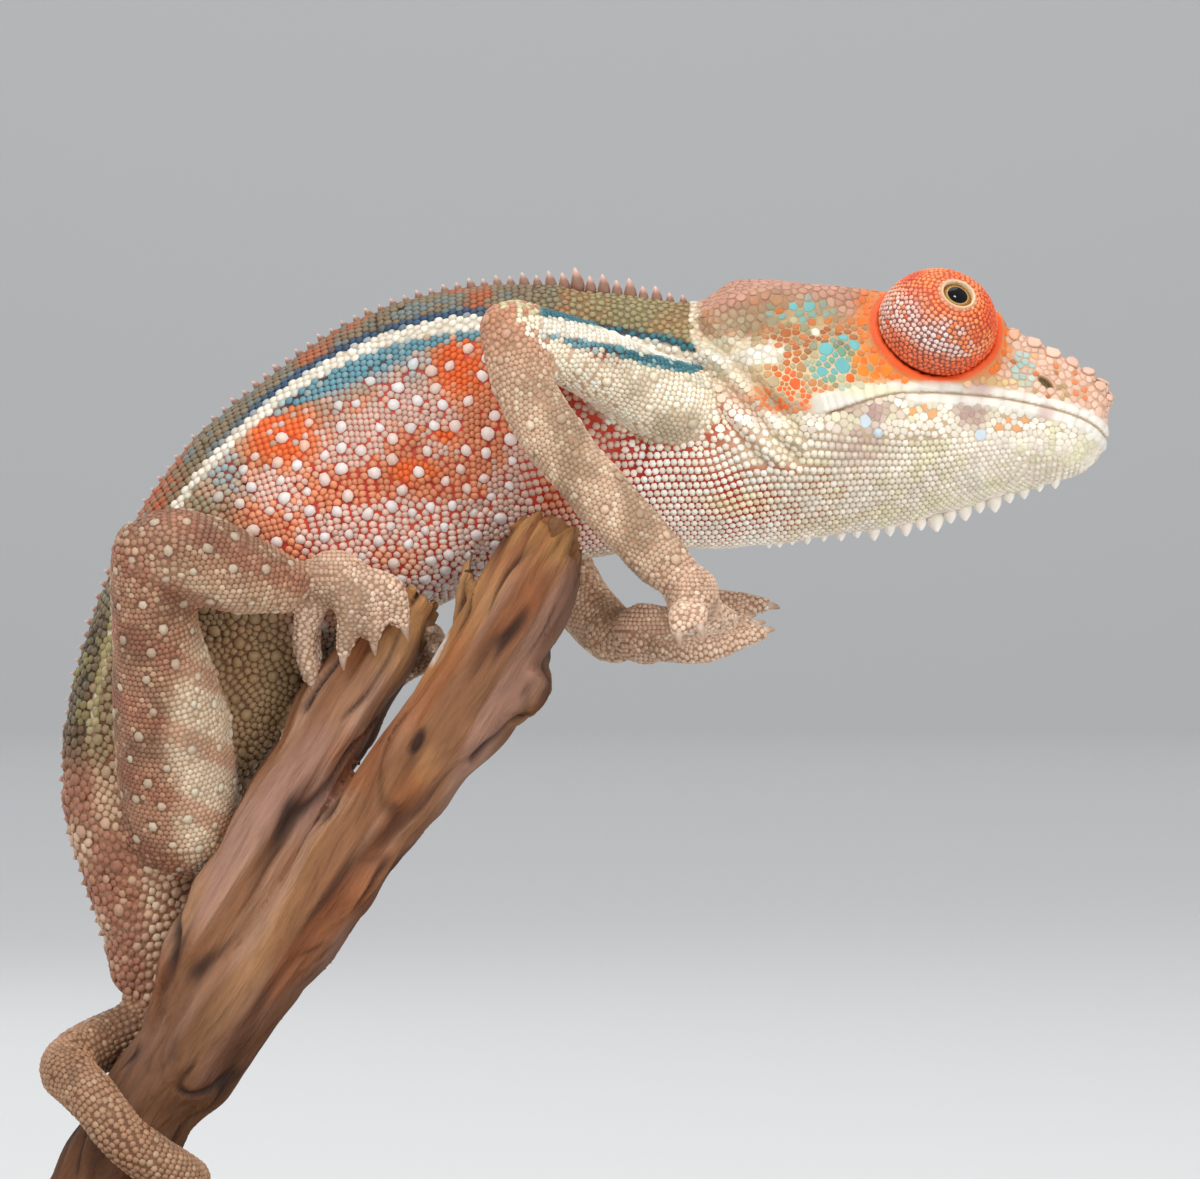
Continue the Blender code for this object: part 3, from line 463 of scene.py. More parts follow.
def coordinates(piece):
    """A mesh's points, in millimetres, and its normals."""
    vertices = piece.data.vertices
    return values(vertices, "co", 3).astype(float) / MM, values(vertices, "normal", 3).astype(float)


def set_points(piece, points):
    piece.data.vertices.foreach_set("co", (points * MM).astype(np.float32).ravel())
    piece.data.update()


def put_colour(piece, colours):
    """Writes screen colours, one for each point, as an attribute."""
    data = np.ones((len(colours), 4), np.float32)
    data[:, :3] = linear(colours)
    layer = piece.data.color_attributes.new("Tint", "FLOAT_COLOR", "POINT")
    layer.data.foreach_set("color", data.ravel())


def wear(piece, material):
    piece.data.materials.clear()
    piece.data.materials.append(material)


def dress(piece, material, instead_of=()):
    """Gives a piece its material and its body, and hides the nodes that it stands for."""
    wear(piece, material)
    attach(piece, "root")
    for node in instead_of:
        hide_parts(node)


def kd_tree(points):
    """A search tree of points."""
    tree = KDTree(len(points))
    for i, p in enumerate(points.tolist()):
        tree.insert(p, i)
    tree.balance()
    return tree


# ---- forms that the skin is fused from


def body_surface(at, turn):
    """Points of the body, at places counted in rows and turns from the back down the left side."""
    back_x, back_z, belly_x, belly_z, half, widest, ridge, keel = np.moveaxis(smooth_rows(BODY, at), -1, 0)
    c, s = np.cos(turn), np.sin(turn)
    power = np.where(c > 0, ridge, keel)
    reach = np.where(c > 0, widest, 1 - widest)
    down = widest - reach * np.sign(c) * np.abs(c) ** power
    aside = half * np.sign(s) * np.abs(s) ** power
    return np.stack((back_x + (belly_x - back_x) * down, aside, back_z + (belly_z - back_z) * down), -1)


def unit(v):
    return v / np.maximum(np.linalg.norm(v, axis=-1, keepdims=True), 1e-9)


def tube_rings(rows, sides, steps, round_start=True, round_end=True):
    """Rings round a smooth path through rows of x, y, z and radius, with domed ends, and its direction."""
    values = smooth_rows(rows, np.linspace(0, len(rows) - 1, steps + 1))
    path, radius = values[:, :3], values[:, 3]
    turns = np.radians((12, 35, 58, 78))
    if round_start:
        back = unit(path[0] - path[1])
        path = np.vstack((path[0] + back * radius[0] * np.cos(turns)[:, None] * 0.95, path))
        radius = np.concatenate((radius[0] * np.sin(turns), radius))
    if round_end:
        ahead = unit(path[-1] - path[-2])
        end = turns[::-1]
        path = np.vstack((path, path[-1] + ahead * radius[-1] * np.cos(end)[:, None] * 0.95))
        radius = np.concatenate((radius, radius[-1] * np.sin(end)))
    along = unit(np.gradient(path, axis=0))
    side = unit(np.cross(along[0], (0.3, 0.5, 0.8)))
    rings = []
    turn = np.arange(sides) / sides * TAU
    for centre, ahead, r in zip(path, along, radius):
        side = unit(side - ahead * (side @ ahead))
        up = np.cross(ahead, side)
        rings.append(centre + (np.cos(turn)[:, None] * side + np.sin(turn)[:, None] * up) * r)
    return np.array(rings), along


def ball(centre, sizes):
    """Rings of an oval ball."""
    turn = np.radians(np.linspace(4, 176, 16))[:, None]
    around = np.arange(24) / 24 * TAU
    out, up = np.sin(turn), np.cos(turn) + 0 * around
    return np.add(centre, np.stack((out * np.cos(around), out * np.sin(around), up), -1) * np.array(sizes))


def coil_rows(steps):
    """Rows of x, y, z and radius along the tail's coil."""
    turns = np.array([row[0] for row in COIL])
    turn = np.linspace(turns[0], turns[-1], steps)
    height, radius, slack = smooth_rows([row[1:] for row in COIL], np.interp(turn, turns, range(len(COIL)))).T
    wood = np.array(STEM)[::-1]
    x, y, thick = (np.interp(height, wood[:, 2], wood[:, k]) for k in (0, 1, 3))
    reach = thick + radius + slack
    angle = np.radians(turn)
    rows = np.stack((x - np.sin(angle) * reach, y + np.cos(angle) * reach, height, radius), -1)
    start = smooth_rows(BODY, [19.0, 19.6])
    lead = np.stack(((start[:, 0] + start[:, 2]) / 2, 0 * start[:, 0], (start[:, 1] + start[:, 3]) / 2,
                     start[:, 4] * 0.9), -1)
    return np.vstack((lead, rows))


def toe_places(bundle, i):
    """Root, knuckle and tip of one toe of a bundle."""
    root, knuckle, tip, knuckle_step, tip_step, count = bundle
    aside = i - (count - 1) / 2
    moves = ((root, knuckle_step, aside * 0.6), (knuckle, knuckle_step, aside), (tip, tip_step, aside))
    return [np.add(place, np.multiply(step, share)) for place, step, share in moves]


def flesh_forms():
    """Every form of the flesh: label, rings of points, direction along it, and the place along it."""
    forms = []
    at = np.linspace(0, 20, 220)
    rings = body_surface(at[:, None], (np.arange(72) / 72 * TAU)[None])
    forms.append(("body", rings, unit(np.gradient(rings.mean(1), axis=0)), at))
    for label, rows in LIMBS:
        rings, along = tube_rings(rows, 28, 36)
        forms.append((label, rings, along, np.linspace(0, 1, len(rings))))
    for (centre, sizes), bundles, _ in FEET:
        forms.append(("foot", ball(centre, sizes), np.tile((0.0, 0.0, -1.0), (16, 1)), np.linspace(0, 1, 16)))
        for bundle in bundles:
            for i in range(bundle[-1]):
                root, knuckle, tip = toe_places(bundle, i)
                middle = (TOE_ROOT + TOE_TIP) / 2 * 1.08
                rows = ((*root, TOE_ROOT), (*knuckle, middle), (*tip, TOE_TIP))
                rings, along = tube_rings(rows, 14, 14)
                forms.append(("toe", rings, along, np.linspace(0, 1, len(rings))))
    rings, along = tube_rings(coil_rows(150), 22, 190, round_start=False)
    forms.append(("tail", rings, along, np.linspace(0, 1, len(rings))))
    return forms


class Guide:
    """Tells which form a place on the skin belongs to, and how far along it lies."""

    def __init__(self, forms):
        rows = []
        for label, rings, along, place in forms:
            count, sides = rings.shape[:2]
            turn = 1 - np.abs(1 - 2 * np.arange(sides) / sides)
            rows.append((rings.reshape(-1, 3), np.full(count * sides, LABELS.index(label)),
                         np.repeat(along, sides, axis=0), np.repeat(place, sides), np.tile(turn, count)))
        points, *self.about = map(np.concatenate, zip(*rows))
        self.tree = kd_tree(points)

    def look(self, points):
        """Label, direction, place along and turn from back (0) to belly (1) for each point."""
        found = np.array([self.tree.find(p)[1] for p in points.tolist()])
        return [column[found] for column in self.about]


# ---- sculpting


def turret_distance(points):
    """Distance from the middle of the nearer eye turret, counted in its radii."""
    side = np.where(points[:, 1] > 0, 1, -1)
    local = np.where((side > 0)[:, None], turret_local(points, 1), turret_local(points, -1))
    return np.linalg.norm(local, axis=1) / TURRET_RADIUS


def nostril(xz, rim=0.0):
    """Mask of the slanting slit of the nostril, with a rim round it."""
    return blob((xz - NOSTRIL) @ ((0.77, 0.64), (-0.64, 0.77)), 0.0, 0.0, 0.84 + rim, 0.36 + rim, 0.30)


def above_mouth(xz):
    """How far each place lies above the line of the mouth."""
    return xz[:, 1] - np.interp(xz[:, 0], *zip(*sorted(MOUTH)))


def lips(xz):
    """Mask of the smooth pale band along the lips, and the distance from the mouth's line."""
    mouth, share = near_line(xz, MOUTH)
    above = above_mouth(xz)
    tall = np.interp(xz[:, 0], (33, 37, 41), (0.6, 0.0, -0.4))
    high = fade(mouth - tall, 1.75, 1.15) * fade(xz[:, 0], 29.6, 31.6)
    low = fade(mouth, 1.45, 0.9) * fade(xz[:, 0], 38.3, 41.0)
    return np.where(above > 0, high, low), mouth, share


def seams(share):
    """One in the middle of each long scale of the lips, falling to nothing between them."""
    return np.abs(np.sin(share * 24 * math.pi)) ** 0.5


def sculpt(points, label, place):
    """How far each place of the skin rises, in millimetres."""
    xz = points[:, [0, 2]]
    rise = np.zeros(len(points))
    head = on(label, "body") & (place < NECK_END)
    on_side = fade(np.abs(points[:, 1]), 1.0, 3.0)
    lip, mouth, share = lips(xz)
    rise -= head * 0.28 * fade(share, 1.0, 0.95) * np.exp(-((mouth / 0.17) ** 2))
    rise += head * lip * (0.26 + 0.07 * seams(share))
    for width, deep, fold in NECK_FOLDS:
        d, share = near_line(xz, fold)
        ends = fade(share, 0.0, 0.15) * fade(share, 1.0, 0.85)
        rise -= head * on_side * ends * deep * np.exp(-((d / width) ** 2))
        rise += head * on_side * ends * deep * 0.55 * np.exp(-(((d - 1.35) / 0.8) ** 2))
    for line, width, high, bumps in ((BROW, 1.0, 0.75, 0.0), (CANTHUS, 0.95, 0.95, 0.45)):
        d, share = near_line(xz, line)
        swell = 1 - bumps + bumps * np.abs(np.sin(share * 8.5 * math.pi))
        rise += head * fade(np.abs(points[:, 1]), 0.8, 2.4) * high * swell * np.exp(-((d / width) ** 2))
    rise -= head * on_side * 0.65 * blob(xz, 28.5, 122.4, 6.0, 1.7, 0.6)
    rise += head * on_side * 0.55 * blob(xz, 29.5, 109.5, 5.0, 4.0, 0.7)
    rise += head * on_side * 0.25 * blob(xz, *NOSTRIL, 1.5, 1.2, 0.3)
    rise -= head * on_side * 0.6 * nostril(xz)
    r = turret_distance(points)
    rise += head * (1.15 * fade(r, 1.30, 1.05) - 0.25 * np.exp(-(((r - 1.16) / 0.03) ** 2)))
    limb = on(label, *LEGS)
    creases = np.sin(place * 75 + 3 * noise(points, 3.0, 5)) * 0.5 + 0.5
    joint = np.exp(-((place / 0.16) ** 2)) + np.exp(-(((1 - place) / 0.14) ** 2))
    rise -= limb * joint * 0.16 * creases
    rise += (noise(points, 5.0, 1) - 0.5) * 0.30 * ~on(label, "toe")
    rise += (noise(points, 2.0, 2) - 0.5) * 0.22
    flank = on(label, "body") & (place > 10)
    wrinkle = np.abs(noise(points * np.array((1.6, 1, 0.5)), 2.6, 8) - 0.5)
    rise -= flank * 0.35 * np.exp(-((wrinkle / 0.035) ** 2)) * fade(noise(points, 9.0, 3), 0.35, 0.7)
    return rise


# ---- colours


class Places:
    """Places on the body as the painters see them, from the side; pick is a random number for each."""

    def __init__(self, points, place, turn, pick):
        self.points, self.place, self.turn, self.pick = points, place, turn, pick
        self.xz = points[:, [0, 2]]
        self.x, self.z = self.xz.T
        self.lumps, self.fine = noise(points, 4.0, 11), noise(points, 1.5, 12)
        self.face = place < FACE_END
        # how far each place lies from the stripe's middle and above it, and half the stripe's width there
        self.off, along = near_line(self.xz, STRIPE)
        line, ahead = (smooth_rows(STRIPE, along * (len(STRIPE) - 1) + step) for step in (0.0, 0.05))
        ahead = ahead - line + 1e-6
        over = (self.x - line[:, 0]) * ahead[:, 1] - (self.z - line[:, 1]) * ahead[:, 0]
        self.over = over / np.linalg.norm(ahead, axis=1)
        self.wide = np.interp(along, (0, 0.02, 0.07, 0.12, 0.2, 0.4, 0.6, 0.75, 1.0),
                              (0.9, 1.1, 0.6, 0.3, 0.72, 0.8, 0.55, 0.4, 0.3))

    def red(self):
        """Mask of the red skin between the scales of shoulder and throat."""
        shoulder = fade(self.x + 0.5 * (110 - self.z), 27.0, 15.0) * fade(self.z, 116.5, 112.0)
        throat = fade(self.fine, 0.32, 0.52) * fade(self.x, 42, 30) * fade(self.z, 109.0, 106.5)
        return np.maximum(shoulder, 0.9 * throat)


def paint_flank(at):
    """Scale and skin colours of the flank, on which the other layers lie."""
    look = bpy.context.scene.chameleon_markings
    xz, x, z, over, lumps, fine, pick, turn = at.xz, at.x, at.z, at.over, at.lumps, at.fine, at.pick, at.turn
    skin = mix(look.flank, (0.70, 0.18, 0.10), lumps)
    dusk = fade(over, -6.5, -2.4) * fade(x, -4, -9)
    scale = mix(look.beads, (0.62, 0.69, 0.69), dusk * fade(fine, 0.2, 0.45))
    skin = mix(skin, (0.58, 0.20, 0.15), dusk * 0.8)
    scale = mix(scale, (0.86, 0.47, 0.28), fade(lumps + 0.3 * pick, 0.70, 0.84) * (0.65 - 0.55 * dusk))
    scale = scale * (1 - 0.08 * fade(z + 0.4 * x, 99, 103))[:, None]
    low = fade(turn, 0.60, 0.80)
    scale = mix(scale, (0.90, 0.86, 0.84), low * 0.8)
    patch = blobs(xz, (-3.8, 118.4, 2.8, 3.6, 0.5), (-21.6, 111.2, 4.0, 3.4, 0.6),
                  (-5.2, 111.4, 1.2, 1.0, 0.5), (-8.4, 107.6, 2.2, 1.2, 0.6))
    scale = mix(scale, (0.91, 0.42, 0.16), patch * fade(pick, 0.95, 0.65))
    skin = mix(skin, (0.80, 0.28, 0.10), patch)
    rear = fade(x + 0.75 * (z - 100), -19, -30)
    scale = mix(scale, (0.56, 0.49, 0.38), rear * 0.9)
    skin = mix(skin, (0.40, 0.28, 0.19), rear * 0.95)
    under = fade(turn, 0.86, 0.97)
    scale = mix(scale, (0.80, 0.76, 0.66), under * 0.7)
    skin = mix(skin, (0.58, 0.46, 0.37), under * 0.7)
    return scale, skin


def paint_back(at, scale, skin):
    """The barred back, greener towards the neck, and the rusty root of the tail."""
    points, x, z, lumps, fine, pick = at.points, at.x, at.z, at.lumps, at.fine, at.pick
    back = fade(at.over, 0.2, 0.9) * (at.place > 8.6)
    bars = fade(np.sin((x * 0.9 - z * 0.55) * 0.62 + 3.0 * noise(points, 7.0, 21)), -0.1, 0.6)
    back_scale = mix((0.50, 0.46, 0.40), (0.68, 0.38, 0.24), bars * fade(pick, 1.0, 0.3))
    back_scale = mix(back_scale, (0.40, 0.47, 0.47), fade(fine, 0.55, 0.8) * 0.6)
    back_skin = mix((0.34, 0.30, 0.25), (0.50, 0.26, 0.15), bars)
    green = fade(x, 2.0, 9.0)
    back_scale = mix(back_scale, (0.63, 0.62, 0.47), green * 0.75)
    back_skin = mix(back_skin, (0.52, 0.50, 0.38), green * 0.7)
    tail_end = fade(z, 98.0, 90.0) * (x < -20)
    dull_scale = mix((0.34, 0.31, 0.25), (0.50, 0.48, 0.30), fade(fine, 0.45, 0.7))
    back_scale = mix(back_scale, dull_scale, tail_end * 0.8)
    back_skin = mix(back_skin, (0.24, 0.23, 0.18), tail_end * 0.8)
    scale = mix(scale, back_scale, back)
    skin = mix(skin, back_skin, back)
    root = fade(z + 0.25 * (x + 40), 81.0, 76.0) * (x < -20)
    root_scale = mix((0.77, 0.66, 0.58), (0.62, 0.44, 0.38), fade(lumps, 0.35, 0.65))
    scale = mix(scale, mix(root_scale, (0.80, 0.77, 0.68), fade(pick, 0.84, 0.98) * 0.4), root)
    skin = mix(skin, (0.60, 0.45, 0.38), root)
    return scale, skin


def paint_neck(at, scale, skin):
    """The pale neck and the throat, with red and golden skin between its rows."""
    x, z, fine, pick = at.x, at.z, at.fine, at.pick
    neck = fade(x, 10.5, 14.0) * np.where(x > 19.0, 1.0, at.over < 0)
    throat = fade(z, 118.0, 112.0)
    pale = mix((0.91, 0.86, 0.77), (0.74, 0.80, 0.75), fade(fine, 0.5, 0.8) * 0.6)
    pale = mix(pale, (0.88, 0.86, 0.79), fade(pick, 0.5, 0.9) * 0.6)
    scale = mix(scale, pale, neck * (1 - throat))
    scale = mix(scale, mix((1.0, 0.96, 0.92), (0.96, 0.91, 0.84), fine), neck * throat)
    neck_skin = mix((0.70, 0.57, 0.45), (0.84, 0.78, 0.69), np.maximum(fade(z, 106, 109), fade(x, 42, 48)))
    neck_skin = mix(neck_skin, (0.70, 0.16, 0.09), at.red())
    skin = mix(skin, neck_skin, neck)
    gold = blob(at.xz, 24.0, 104.6, 3.6, 1.2, 0.6)
    return mix(scale, (0.92, 0.83, 0.62), gold * 0.45), skin


def paint_edges(at, scale, skin):
    """The dark and the blue-green band along the two edges of the stripe."""
    x, over, wide, pick = at.x, at.over, at.wide, at.pick
    trunk = at.place > 9.2
    front = fade(x, -3.0, 4.0)
    edge = trunk * fade(np.abs(over - wide - 0.32 - 0.1 * front), 0.50 + 0.15 * front, 0.22)
    edge = edge * fade(x, -30, -22)
    scale = mix(scale, mix((0.13, 0.26, 0.38), (0.12, 0.40, 0.46), front), edge * 0.9)
    skin = mix(skin, (0.08, 0.16, 0.22), edge)
    band = np.interp(x, (-24, -20, -16, -12, -8, -3, 3, 11, 14, 19, 21),
                     (0.0, 0.6, 1.0, 1.0, 0.6, 0.4, 0.4, 0.4, 0.55, 0.5, 0.0))
    teal = trunk * fade(np.abs(-over - wide - band) - band, 0.25, -0.15) * (band > 0.02)
    scale = mix(scale, (0.38, 0.57, 0.61), teal * fade(pick, 1.0, 0.8))
    dark = teal * fade(x, 9, 12)
    scale = mix(scale, (0.18, 0.42, 0.46), dark * fade(pick, 1.0, 0.8))
    skin = mix(skin, (0.20, 0.20, 0.24), teal * 0.8)
    return scale, skin


def paint_head(at, scale, skin):
    """The head: casque and snout, the cheek's plates, rusty and amber patches round the turret."""
    look = bpy.context.scene.chameleon_markings
    xz, x, z, lumps, fine, pick, face = at.xz, at.x, at.z, at.lumps, at.fine, at.pick, at.face
    head = fade(x, 24.5, 28.0) * fade(z + (x - 28) * 0.2, 112.5, 114.5)
    head = np.maximum(head, fade(x, 19.3, 20.5) * fade(z, 120.4, 121.6) * (x < 34))
    casque = mix((0.66, 0.54, 0.45), (0.76, 0.58, 0.53), fade(lumps, 0.3, 0.7))
    casque = mix(casque, (0.62, 0.63, 0.52), blob(xz, 23.5, 122.0, 3.5, 1.6, 0.6) * 0.7)
    casque = mix(casque, (0.72, 0.42, 0.26), fade(fine, 0.6, 0.75) * fade(z, 126, 124) * 0.5)
    snout = mix((0.91, 0.77, 0.71), (0.83, 0.67, 0.59), fine * 0.6)
    scale = mix(scale, mix(casque, snout, fade(x, 40, 48)), head)
    skin = mix(skin, mix((0.66, 0.52, 0.45), (0.84, 0.69, 0.61), fade(x, 42, 48)), head)
    cheek = blob(xz, 31.6, 118.5, 7.6, 4.6, 0.3) * (x > 24.8) * face
    plain = mix((0.71, 0.68, 0.56), (0.76, 0.66, 0.53), fine)
    rust = blobs(xz, (30.9, 121.0, 5.0, 2.2, 0.4), (28.2, 118.0, 1.6, 2.2, 0.4)) * (pick > 0.25)
    cheek_scale = mix(plain, mix((0.73, 0.40, 0.16), (0.83, 0.48, 0.20), fine), rust)
    blue, moss = blob(xz, 33.4, 118.2, 2.9, 2.4, 0.35), blob(xz, 30.0, 123.5, 3.4, 1.4, 0.4) * face
    sort = pick[:, None]
    choice = np.where(sort < 0.30, look.plates, np.where(sort < 0.75, (0.46, 0.64, 0.56), (0.68, 0.72, 0.62)))
    temple = fade(z, 118.5, 120.5)
    cheek_scale = mix(cheek_scale, choice, blue * 0.95) * (1 - 0.13 * temple)[:, None]
    scale = mix(mix(scale, cheek_scale, cheek), choice, moss * fade(pick, 0.0, 0.2) * 0.85)
    skin = mix(skin, mix((0.88, 0.80, 0.66), (0.76, 0.67, 0.53), temple), np.maximum(cheek, moss * 0.7))
    dots = blobs(xz, (29.4, 114.4, 4.4, 2.0, 0.5), (28.6, 116.2, 1.6, 2.4, 0.4)) * (pick > 0.45)
    dots = dots * face * fade(z, 113.2, 114.0)
    scale = mix(scale, (0.90, 0.42, 0.16), dots)
    r = turret_distance(at.points)
    amber = blobs(xz, (37.6, 118.4, 2.6, 1.9, 0.4), (37.0, 123.0, 1.5, 3.2, 0.5))
    amber = np.maximum(amber, fade(r, 1.36, 1.20)) * face
    scale = mix(scale, (0.94, 0.47, 0.11), amber * (pick > 0.08))
    skin = mix(skin, (0.88, 0.60, 0.38), amber * 0.8)
    sea = blobs(xz, (52.0, 117.9, 1.2, 2.0, 0.5), (42.4, 116.9, 1.2, 0.5, 0.4)) * face
    scale = mix(scale, (0.58, 0.76, 0.72), sea * fade(pick, 0.1, 0.3) * 0.85)
    olive = blob(xz, 48.6, 116.4, 2.8, 0.7, 0.6) * face
    scale = mix(scale, (0.86, 0.78, 0.50), olive * 0.7)
    return scale, skin


def paint_jaw(at, scale, skin):
    """Lips and jaw, the line of the mouth, the nostril's slit in painted shade, and the ring round the
    turret.
    """
    xz, x, z, fine, pick, face = at.xz, at.x, at.z, at.fine, at.pick, at.face
    lip, mouth, share = lips(xz)
    lip = lip * face
    jaw = face * (above_mouth(xz) < 0) * fade(x, 26.0, 31.0)
    jaw_scale = mix((0.94, 0.90, 0.85), (0.87, 0.86, 0.72), fade(fine, 0.40, 0.8) * 0.6)
    lilac = blobs(xz, (36.9, 113.6, 2.6, 0.9, 0.5), (46.8, 113.6, 1.7, 1.5, 0.5),
                  (35.6, 110.6, 2.6, 2.2, 0.6, 0.7))
    jaw_scale = mix(jaw_scale, (0.70, 0.60, 0.62), lilac * fade(pick, 0.05, 0.5))
    scale = mix(scale, jaw_scale, jaw)
    jaw_skin = mix((0.78, 0.71, 0.61), (0.92, 0.87, 0.79), fade(x, 43, 49) * fade(z, 112, 110))
    skin = mix(skin, mix(jaw_skin, (0.72, 0.22, 0.14), at.red() * 0.6), jaw)
    pale = mix((0.97, 0.95, 0.91), (0.93, 0.92, 0.70), blob(xz, 36.5, 115.6, 3.4, 0.6, 0.6) * 0.45)
    scale = mix(scale, pale, lip)
    skin = mix(skin, pale * (0.90 + 0.09 * seams(share))[:, None], lip)
    violet = blobs(xz, (47.5, 115.9, 1.4, 0.8, 0.5), (54.2, 113.6, 0.9, 0.8, 0.5)) * face
    scale = mix(scale, (0.78, 0.67, 0.68), violet * 0.7)
    skin = mix(skin, (0.80, 0.69, 0.70), violet * 0.6)
    skin = mix(skin, (0.69, 0.61, 0.52), face * fade(mouth, 0.17, 0.04) * fade(x, 31.5, 33.0))
    # Painted shade: the nostril's slit is darkened as the shade inside the opening.
    skin = mix(skin, (0.42, 0.40, 0.27), nostril(xz) * face)
    ring = fade(turret_distance(at.points), 1.14, 1.08) * face
    scale = mix(scale, (0.96, 0.41, 0.16), ring)
    skin = mix(skin, (0.95, 0.39, 0.15), ring)
    return scale, skin


def paint_stripe(at, scale, skin):
    """The long pale stripe."""
    stripe = (at.place > 6.0) * fade(at.off, at.wide + 0.2, at.wide - 0.1) * fade(at.z, 80, 84)
    scale = mix(scale, bpy.context.scene.chameleon_markings.stripe, stripe)
    scale = mix(scale, (0.60, 0.58, 0.41), stripe * fade(at.z, 99.0, 95.0))
    return scale, mix(skin, (0.86, 0.82, 0.75), stripe)


def paint_body(points, place, turn, pick):
    """Scale and skin colours of head, neck and trunk, layer by layer, and heights above the stripe."""
    at = Places(points, place, turn, pick)
    scale, skin = paint_flank(at)
    for layer in (paint_back, paint_neck, paint_edges, paint_head, paint_jaw, paint_stripe):
        scale, skin = layer(at, scale, skin)
    return scale, skin, at.over


LIMB_LOOK = {
    "arm": ((1.0, 0.95, 0.86), (0.86, 0.75, 0.65), (1.0, 0.98, 0.92)),
    "forearm": ((0.82, 0.71, 0.63), (0.70, 0.57, 0.49), (0.88, 0.86, 0.77)),
    "thigh": ((0.65, 0.50, 0.43), (0.50, 0.36, 0.29), (0.84, 0.81, 0.71)),
    "shank": ((0.67, 0.53, 0.46), (0.53, 0.38, 0.32), (0.82, 0.79, 0.71)),
    "foot": ((0.82, 0.70, 0.63), (0.66, 0.53, 0.46), (0.88, 0.82, 0.76)),
    "toe": ((0.86, 0.75, 0.68), (0.68, 0.56, 0.49), (0.91, 0.86, 0.80)),
    "tail": ((0.66, 0.53, 0.45), (0.51, 0.38, 0.31), (0.76, 0.70, 0.62)),
}


def paint(points, normals, label, place, turn, pick):
    """Scale and skin colours for places anywhere on the animal."""
    scale, skin, over = paint_body(points, np.where(on(label, "body"), place, 15.0), turn, pick)
    lumps = noise(points, 3.5, 31)
    for name, (ground, between, spot) in LIMB_LOOK.items():
        here = on(label, name)
        if not here.any():
            continue
        p = points[here]
        colour = mix(ground, np.multiply(ground, 0.80), fade(lumps[here], 0.45, 0.75))
        colour = mix(colour, spot, fade(pick[here], 0.78, 0.98) * 0.4)
        below = between
        if name in ("thigh", "shank"):
            edge = (lumps[here] - 0.5)[:, None] * (1.6, 0.0)
            # On the thigh this is a tall narrow whitish strip along the leg, a painted highlight; on the
            # shank it pales the faces turned downwards, the leg's paler underside.
            highlight_and_pale_underside = (blob(p[:, [0, 2]] + edge, -27.4, 78.0, 4.6, 15.0, 0.3) if name == "thigh"
                     else fade(normals[here, 2], 0.0, -0.6) * 0.5)
            colour = mix(colour, (0.88, 0.82, 0.74), highlight_and_pale_underside * 0.85)
            below = mix(below, (0.76, 0.68, 0.59), highlight_and_pale_underside * 0.85)
            bands = fade(np.sin(p[:, 2] * 0.9 + p[:, 0] * 0.5), 0.2, 0.8)
            colour = mix(colour, (0.58, 0.34, 0.29), bands * 0.35)
        if name == "arm":
            high = fade(normals[here, 2], 0.25, 0.7)
            colour = mix(colour, (0.66, 0.66, 0.50), high * 0.6)
        if name == "forearm":
            rusty = fade(place[here], 0.30, 0.05)
            colour = mix(colour, (0.74, 0.50, 0.41), rusty * 0.7)
        if name == "tail":
            bands = fade(np.sin(place[here] * 60), -0.2, 0.5)
            colour = mix(colour, (0.70, 0.55, 0.45), bands * 0.5)
            below = mix(below, (0.36, 0.25, 0.20), bands * 0.4)
        if name in ("arm", "forearm"):
            limit = np.interp(p[:, 0], (2, 6, 9, 12), (-1.0, -1.2, -2.2, -2.8))
            bare = fade(over[here], limit - 0.3, limit + 0.2) * fade(p[:, 0], 3.8, 4.6) * (p[:, 1] < 0)
            colour, below = mix(colour, scale[here], bare), mix(below, skin[here], bare)
        scale[here], skin[here] = colour, below
    jitter = 1 + (pick - 0.5)[:, None] * 0.10
    return warmed(scale * jitter), warmed(skin)


# ---- scales


def jaw_line(x):
    """Height up to which the long rows of the throat reach, under the larger scales of the jaw."""
    return np.interp(x, (24, 30, 44, 54, 60), (112.5, 111.4, 111.5, 109.4, 107.6))


def spacing(points, label, place, turn, pick):
    """How far apart the scales' middles are, in millimetres."""
    xz = points[:, [0, 2]]
    x, z = xz.T
    body = on(label, "body")
    head = body & (place < FACE_END)
    face = head & (above_mouth(xz) > -1.0) & (x > 22)
    size = np.where(face, 0.66 + 0.16 * fade(z, 122, 124), 0.66)
    tiny = blob(xz, 29.0, 114.2, 4.2, 2.4, 0.3) > 0.5
    size = np.where(head & tiny, 0.50, size)
    throat = body & ~face & (place < THROAT_END)
    size = np.where(throat, 0.74 - 0.11 * fade(x, 30, 50) - 0.06 * fade(z - jaw_line(x), -0.4, 0.2), size)
    flank = body & (place >= THROAT_END)
    size = np.where(flank, 0.62 + 0.13 * fade(place, 15.5, 17.5) + 0.10 * fade(turn, 0.35, 0.2), size)
    for value, *names in ((0.56, "arm", "forearm"), (0.61, "thigh", "shank", "tail"), (0.50, "foot", "toe")):
        size = np.where(on(label, *names), value, size)
    return size * (0.94 + 0.12 * pick)


def scattered(skin, count, generator):
    """Random places spread evenly over the skin."""
    mesh = skin.data
    mesh.calc_loop_triangles()
    corners = values(mesh.loop_triangles, "vertices", 3, np.int32)
    points, _ = coordinates(skin)
    a, b, c = (points[corner] for corner in corners.T)
    area = np.linalg.norm(np.cross(b - a, c - a), axis=1)
    chosen = generator.choice(len(a), count, p=area / area.sum())
    u, v = generator.random((2, count, 1))
    flip = (u + v) > 1
    u, v = np.where(flip, 1 - u, u), np.where(flip, 1 - v, v)
    return a[chosen] + u * (b[chosen] - a[chosen]) + v * (c[chosen] - a[chosen])


